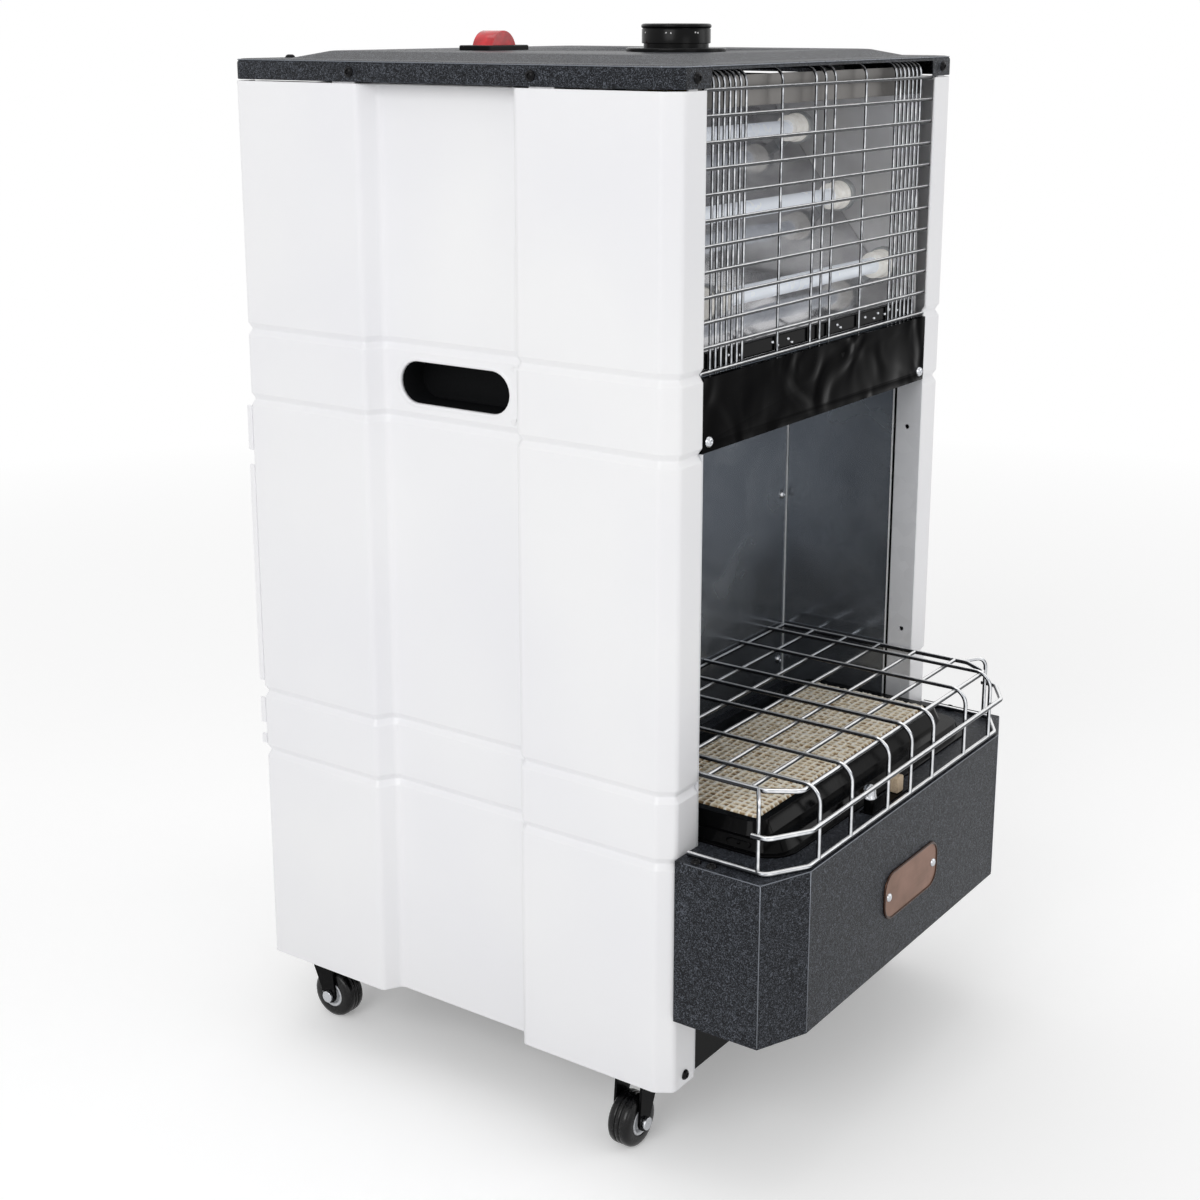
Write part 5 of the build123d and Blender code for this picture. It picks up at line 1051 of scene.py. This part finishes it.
def housing_boss():
    """An oval boss pressed in the burner pan's left flank, with a small round head in it.

    Each ring is the hand slot's outline made small, a little larger by its grow, and out from
    the flank.
    """
    y, z = -207.9, 238.6
    right, up = stadium(np.linspace(0, 1, 32, endpoint=False), 0.0)
    rings = []
    for grow, out in ((0.2, 0.0), (0.0, 0.5), (-0.25, 0.8), (-0.5, 0.8), (-0.8, 0.3), (-1.0, 0.1)):
        wide, high = 0.2 * (1 + grow * 0.1), 0.155 * (1 + grow * 0.16)
        rings.append(np.column_stack([np.full(32, -145.6 - out), y - right * wide, z + up * high]))
    boss = (np.concatenate(rings), ring_faces(len(rings), 32))
    head = turned([(1.2, 0), (1.1, 0.5), (0.6, 0.85), (0, 0.9)], 12, "x")
    return merged([boss, faced(head, (-145.7, y, z))])


skin, folds = side_panel(), panel_folds()
for side in ("left", "right"):
    node = [f"side_panel_{side}"]
    piece(f"panel_skin_{side}", skin, WHITE, "white_enamel", node, smooth_angle=55, sheet=SHEET)
    piece(f"panel_folds_{side}", folds, WHITE, "white_enamel", node, edge=0.4)
    skin, folds = mirrored(skin), mirrored(folds)
tiles, pockets = waffle_tiles()
tiles = piece("waffle_tiles", tiles, CORDIERITE, "cream_ceramic", ["burner_plaques"], smooth_angle=60)
tiles.data.attributes.new("pocket", "FLOAT", "POINT").data.foreach_set("value", pockets)

flange = brick(-REFLECTOR_HALF, REFLECTOR_HALF, REFLECTOR_FRONT - 0.8, REFLECTOR_FRONT, 713.0, 732.8)
rail, studs = stud_rail()
bright, shadow_gap = seams()
field, rim = nameplate_form()
bracket, dome = pilot()
electrode_block = brick(-4.6, 4.6, -254.0, -245.0, 235.0, 247.0)
# Each piece: its shape, material and slot, the CAD node that it stands for, where surfaces count
# as smooth, and its sheet and edges.
for name, part, material, slot, node, smooth, extras in (
    ("lid_skin", lid_skin(), HAMMER, "hammertone", "top_lid", 32, {"sheet": 1.4}),
    ("dark_screws", dark_screws(), OXIDE, "black_screw", "black_screws", 50, {}),
    ("bright_screws", bright_screws(), ZINC_BRIGHT, "bright_screw", "chrome_screws", 50, {}),
    ("reflector_sheet", reflector_sheet(), MIRROR, "mirror_steel", "reflector", 50,
     {"sheet": 0.8, "inward": False}),
    ("reflector_flange", flange, DULL_FLANGE, "mirror_steel", "reflector", 40, {"edge": 0.25}),
    ("stud_rail", rail, ENAMEL, "black_enamel", None, 40, {"edge": 1.2}),
    ("rail_studs", studs, ZINC_BRIGHT, "bright_screw", None, 60, {}),
    # A black strip of painted shadow in the gap by each rail.
    ("hearth_painted_shadow_gaps", shadow_gap, OXIDE, "zinc_steel", None, 40, {}),
    # Painted highlights on the hearth's folds.
    ("hearth_fold_highlights", bright, FOLD_HIGHLIGHT, "zinc_steel", None, 40, {"edge": 0.2}),
    ("nameplate_field", field, COPPER, "copper", "nameplate", 35, {}),
    ("nameplate_rim", rim, DARK_COPPER_RIM, "copper", "nameplate", 50, {}),
    ("rivet_domes", rivets(), ZINC_BRIGHT, "bright_screw", "nameplate_rivets", 60, {}),
    ("pilot_bracket", bracket, ENAMEL, "zinc_steel", "pilot_burner", 40, {"edge": 0.25}),
    ("pilot_dome", dome, ZINC_BRIGHT, "zinc_steel", "pilot_burner", 50, {}),
    ("insulator", electrode_block, STEATITE, "beige_ceramic", "spark_electrode", 40, {"edge": 1.2}),
    ("painted_edge_highlights", painted_edge_highlights(), EDGE_HIGHLIGHT, "hammertone", None, 60, {}),
    ("housing_boss", housing_boss(), ENAMEL, "black_enamel", None, 60, {}),
    ("burner_pan", housing(), ENAMEL, "black_enamel", "burner_housing", 35,
     {"sheet": 1.4, "edge": 1.8, "segments": 4, "angle": 20.0}),
    ("guard_wires", guard_wires(), CHROME, "chrome_wire", "wire_guard", 50, {}),
    ("grille_wires", grille_wires(), PATCHY_HIGHLIGHT_CHROME, "chrome_wire", "upper_grille", 50, {}),
    ("element_coils", coils(), ELEMENT, "element_wire", "heating_elements", 60, {}),
    ("end_caps", end_caps(), GLAZE, "white_ceramic", "tube_end_caps", 50, {}),
    ("knob", knob_form(), ABS, "black_plastic", "control_knob", 35, {"body": "knob"}),
    ("knob_dots", knob_dots(), MARKING, "hub_grey", None, 40, {"body": "knob"}),
):
    piece(name, part, material, slot, [node] if node else [], smooth_angle=smooth, **extras)
tyre, hub = tyre_form(), hub_form()
for corner in CASTERS:
    for name, part, material, slot, node in (
        ("tread", tyre, TYRE, "tyre", "tyre"), ("hub_ring", hub, NYLON, "hub_grey", "hub"),
    ):
        piece(f"{name}_{corner}", at_caster(corner, part), material, slot, [f"{node}_{corner}"],
              body=f"wheel_{corner}", smooth_angle=45)


# ---------------------------------------------------------------- floor, light and camera, in metres

def seen_directly(tree):
    """1 where the camera sees a thing itself, in a mirror or through glass, and 0 elsewhere."""
    path = add(tree, "LightPath").outputs
    seen = path["Is Camera Ray"]
    for ray in ("Is Glossy Ray", "Is Transmission Ray"):
        seen = add(tree, "Math", {0: seen, 1: path[ray]}, operation="MAXIMUM").outputs[0]
    return seen


def studio():
    """A pale floor whose far part fades to plain white, a white world and soft lamps."""
    half, tone, lifted_by, fade_start, fade_end = 9.0, 0.9, 0.22, 0.9, 2.2
    mesh = bpy.data.meshes.new("floor")
    corners = [(-half, -half, 0), (half, -half, 0), (half, half, 0), (-half, half, 0)]
    mesh.from_pydata(corners, [], [(0, 1, 2, 3)])
    material = bpy.data.materials.new("pale_studio_floor")
    material.use_nodes = True
    tree = material.node_tree
    shader = tree.nodes["Principled BSDF"]
    shader.inputs["Base Color"].default_value = (tone, tone, tone, 1.0)
    shader.inputs["Roughness"].default_value = 0.9
    shader.inputs["Specular IOR Level"].default_value = 0.0
    seen = seen_directly(tree)
    where = add(tree, "TexCoord").outputs["Object"]
    reach = add(tree, "VectorMath", {0: where}, operation="LENGTH").outputs["Value"]
    far = grey_ramp(tree, reach, 0.0, 1.0, fade_start, fade_end)
    share = add(tree, "Math", {0: seen, 1: far}, operation="MULTIPLY")
    glow = add(tree, "Emission", values={"Color": (1, 1, 1, 1), "Strength": 1.0})
    lift = add(tree, "Emission", {"Strength": seen}, {"Color": (lifted_by, lifted_by, lifted_by, 1)})
    lifted = add(tree, "AddShader", {0: shader.outputs[0], 1: lift.outputs[0]})
    mix = add(tree, "MixShader", {0: share.outputs[0], 1: lifted.outputs[0], 2: glow.outputs[0]})
    tree.links.new(mix.outputs[0], tree.nodes["Material Output"].inputs["Surface"])
    mesh.materials.append(material)
    floor = bpy.data.objects.new("floor", mesh)
    bpy.context.scene.collection.objects.link(floor)

    world = bpy.data.worlds.new("studio_world")
    bpy.context.scene.world = world
    world.use_nodes = True
    tree = world.node_tree
    background = tree.nodes["Background"].inputs
    background["Color"].default_value = (1, 1, 1, 1)
    tree.links.new(grey_ramp(tree, seen_directly(tree), 0.55, 1.0), background["Strength"])

    for name, place, aim, size, power in (
        ("key_softbox", (-3.0, -0.5, 2.0), (0, 0, 0.4), 1.8, 37.5),
        ("front_softbox", (2.0, -2.5, 1.4), (0, 0, 0.4), 1.6, 14),
        ("top_softbox", (0.2, 0.3, 2.8), (0, 0, 0.4), 2.0, 12),
        ("fill_softbox", (-1.3, -2.9, 0.9), (0, 0, 0.5), 1.2, 5),
    ):
        light = bpy.data.lights.new(name, "AREA")
        light.size = size
        light.energy = power
        lamp = bpy.data.objects.new(name, light)
        bpy.context.scene.collection.objects.link(lamp)
        x, y, z = np.array(place) - np.array(aim)
        lamp.location = place
        lamp.rotation_euler = (math.atan2(math.hypot(x, y), z), 0, math.atan2(x, -y))


def camera():
    """The photograph's view: from the left front, 14 degrees down, with the centre shifted up.

    Its place and angles come from a fit to points of the photo.
    """
    down, turn = 14.28, -54.85
    data = bpy.data.cameras.new("camera")
    data.sensor_width = 36.0
    data.lens = 57.07
    data.shift_y = -0.0833
    data.clip_start, data.clip_end = 0.05, 60.0
    obj = bpy.data.objects.new("camera", data)
    obj.location = (-1.14962, -0.76480, 0.76845)
    obj.rotation_euler = (math.radians(90 - down), 0, math.radians(turn))
    bpy.context.scene.collection.objects.link(obj)
    bpy.context.scene.camera = obj


studio()
camera()
bpy.context.scene.view_settings.view_transform = "Standard"
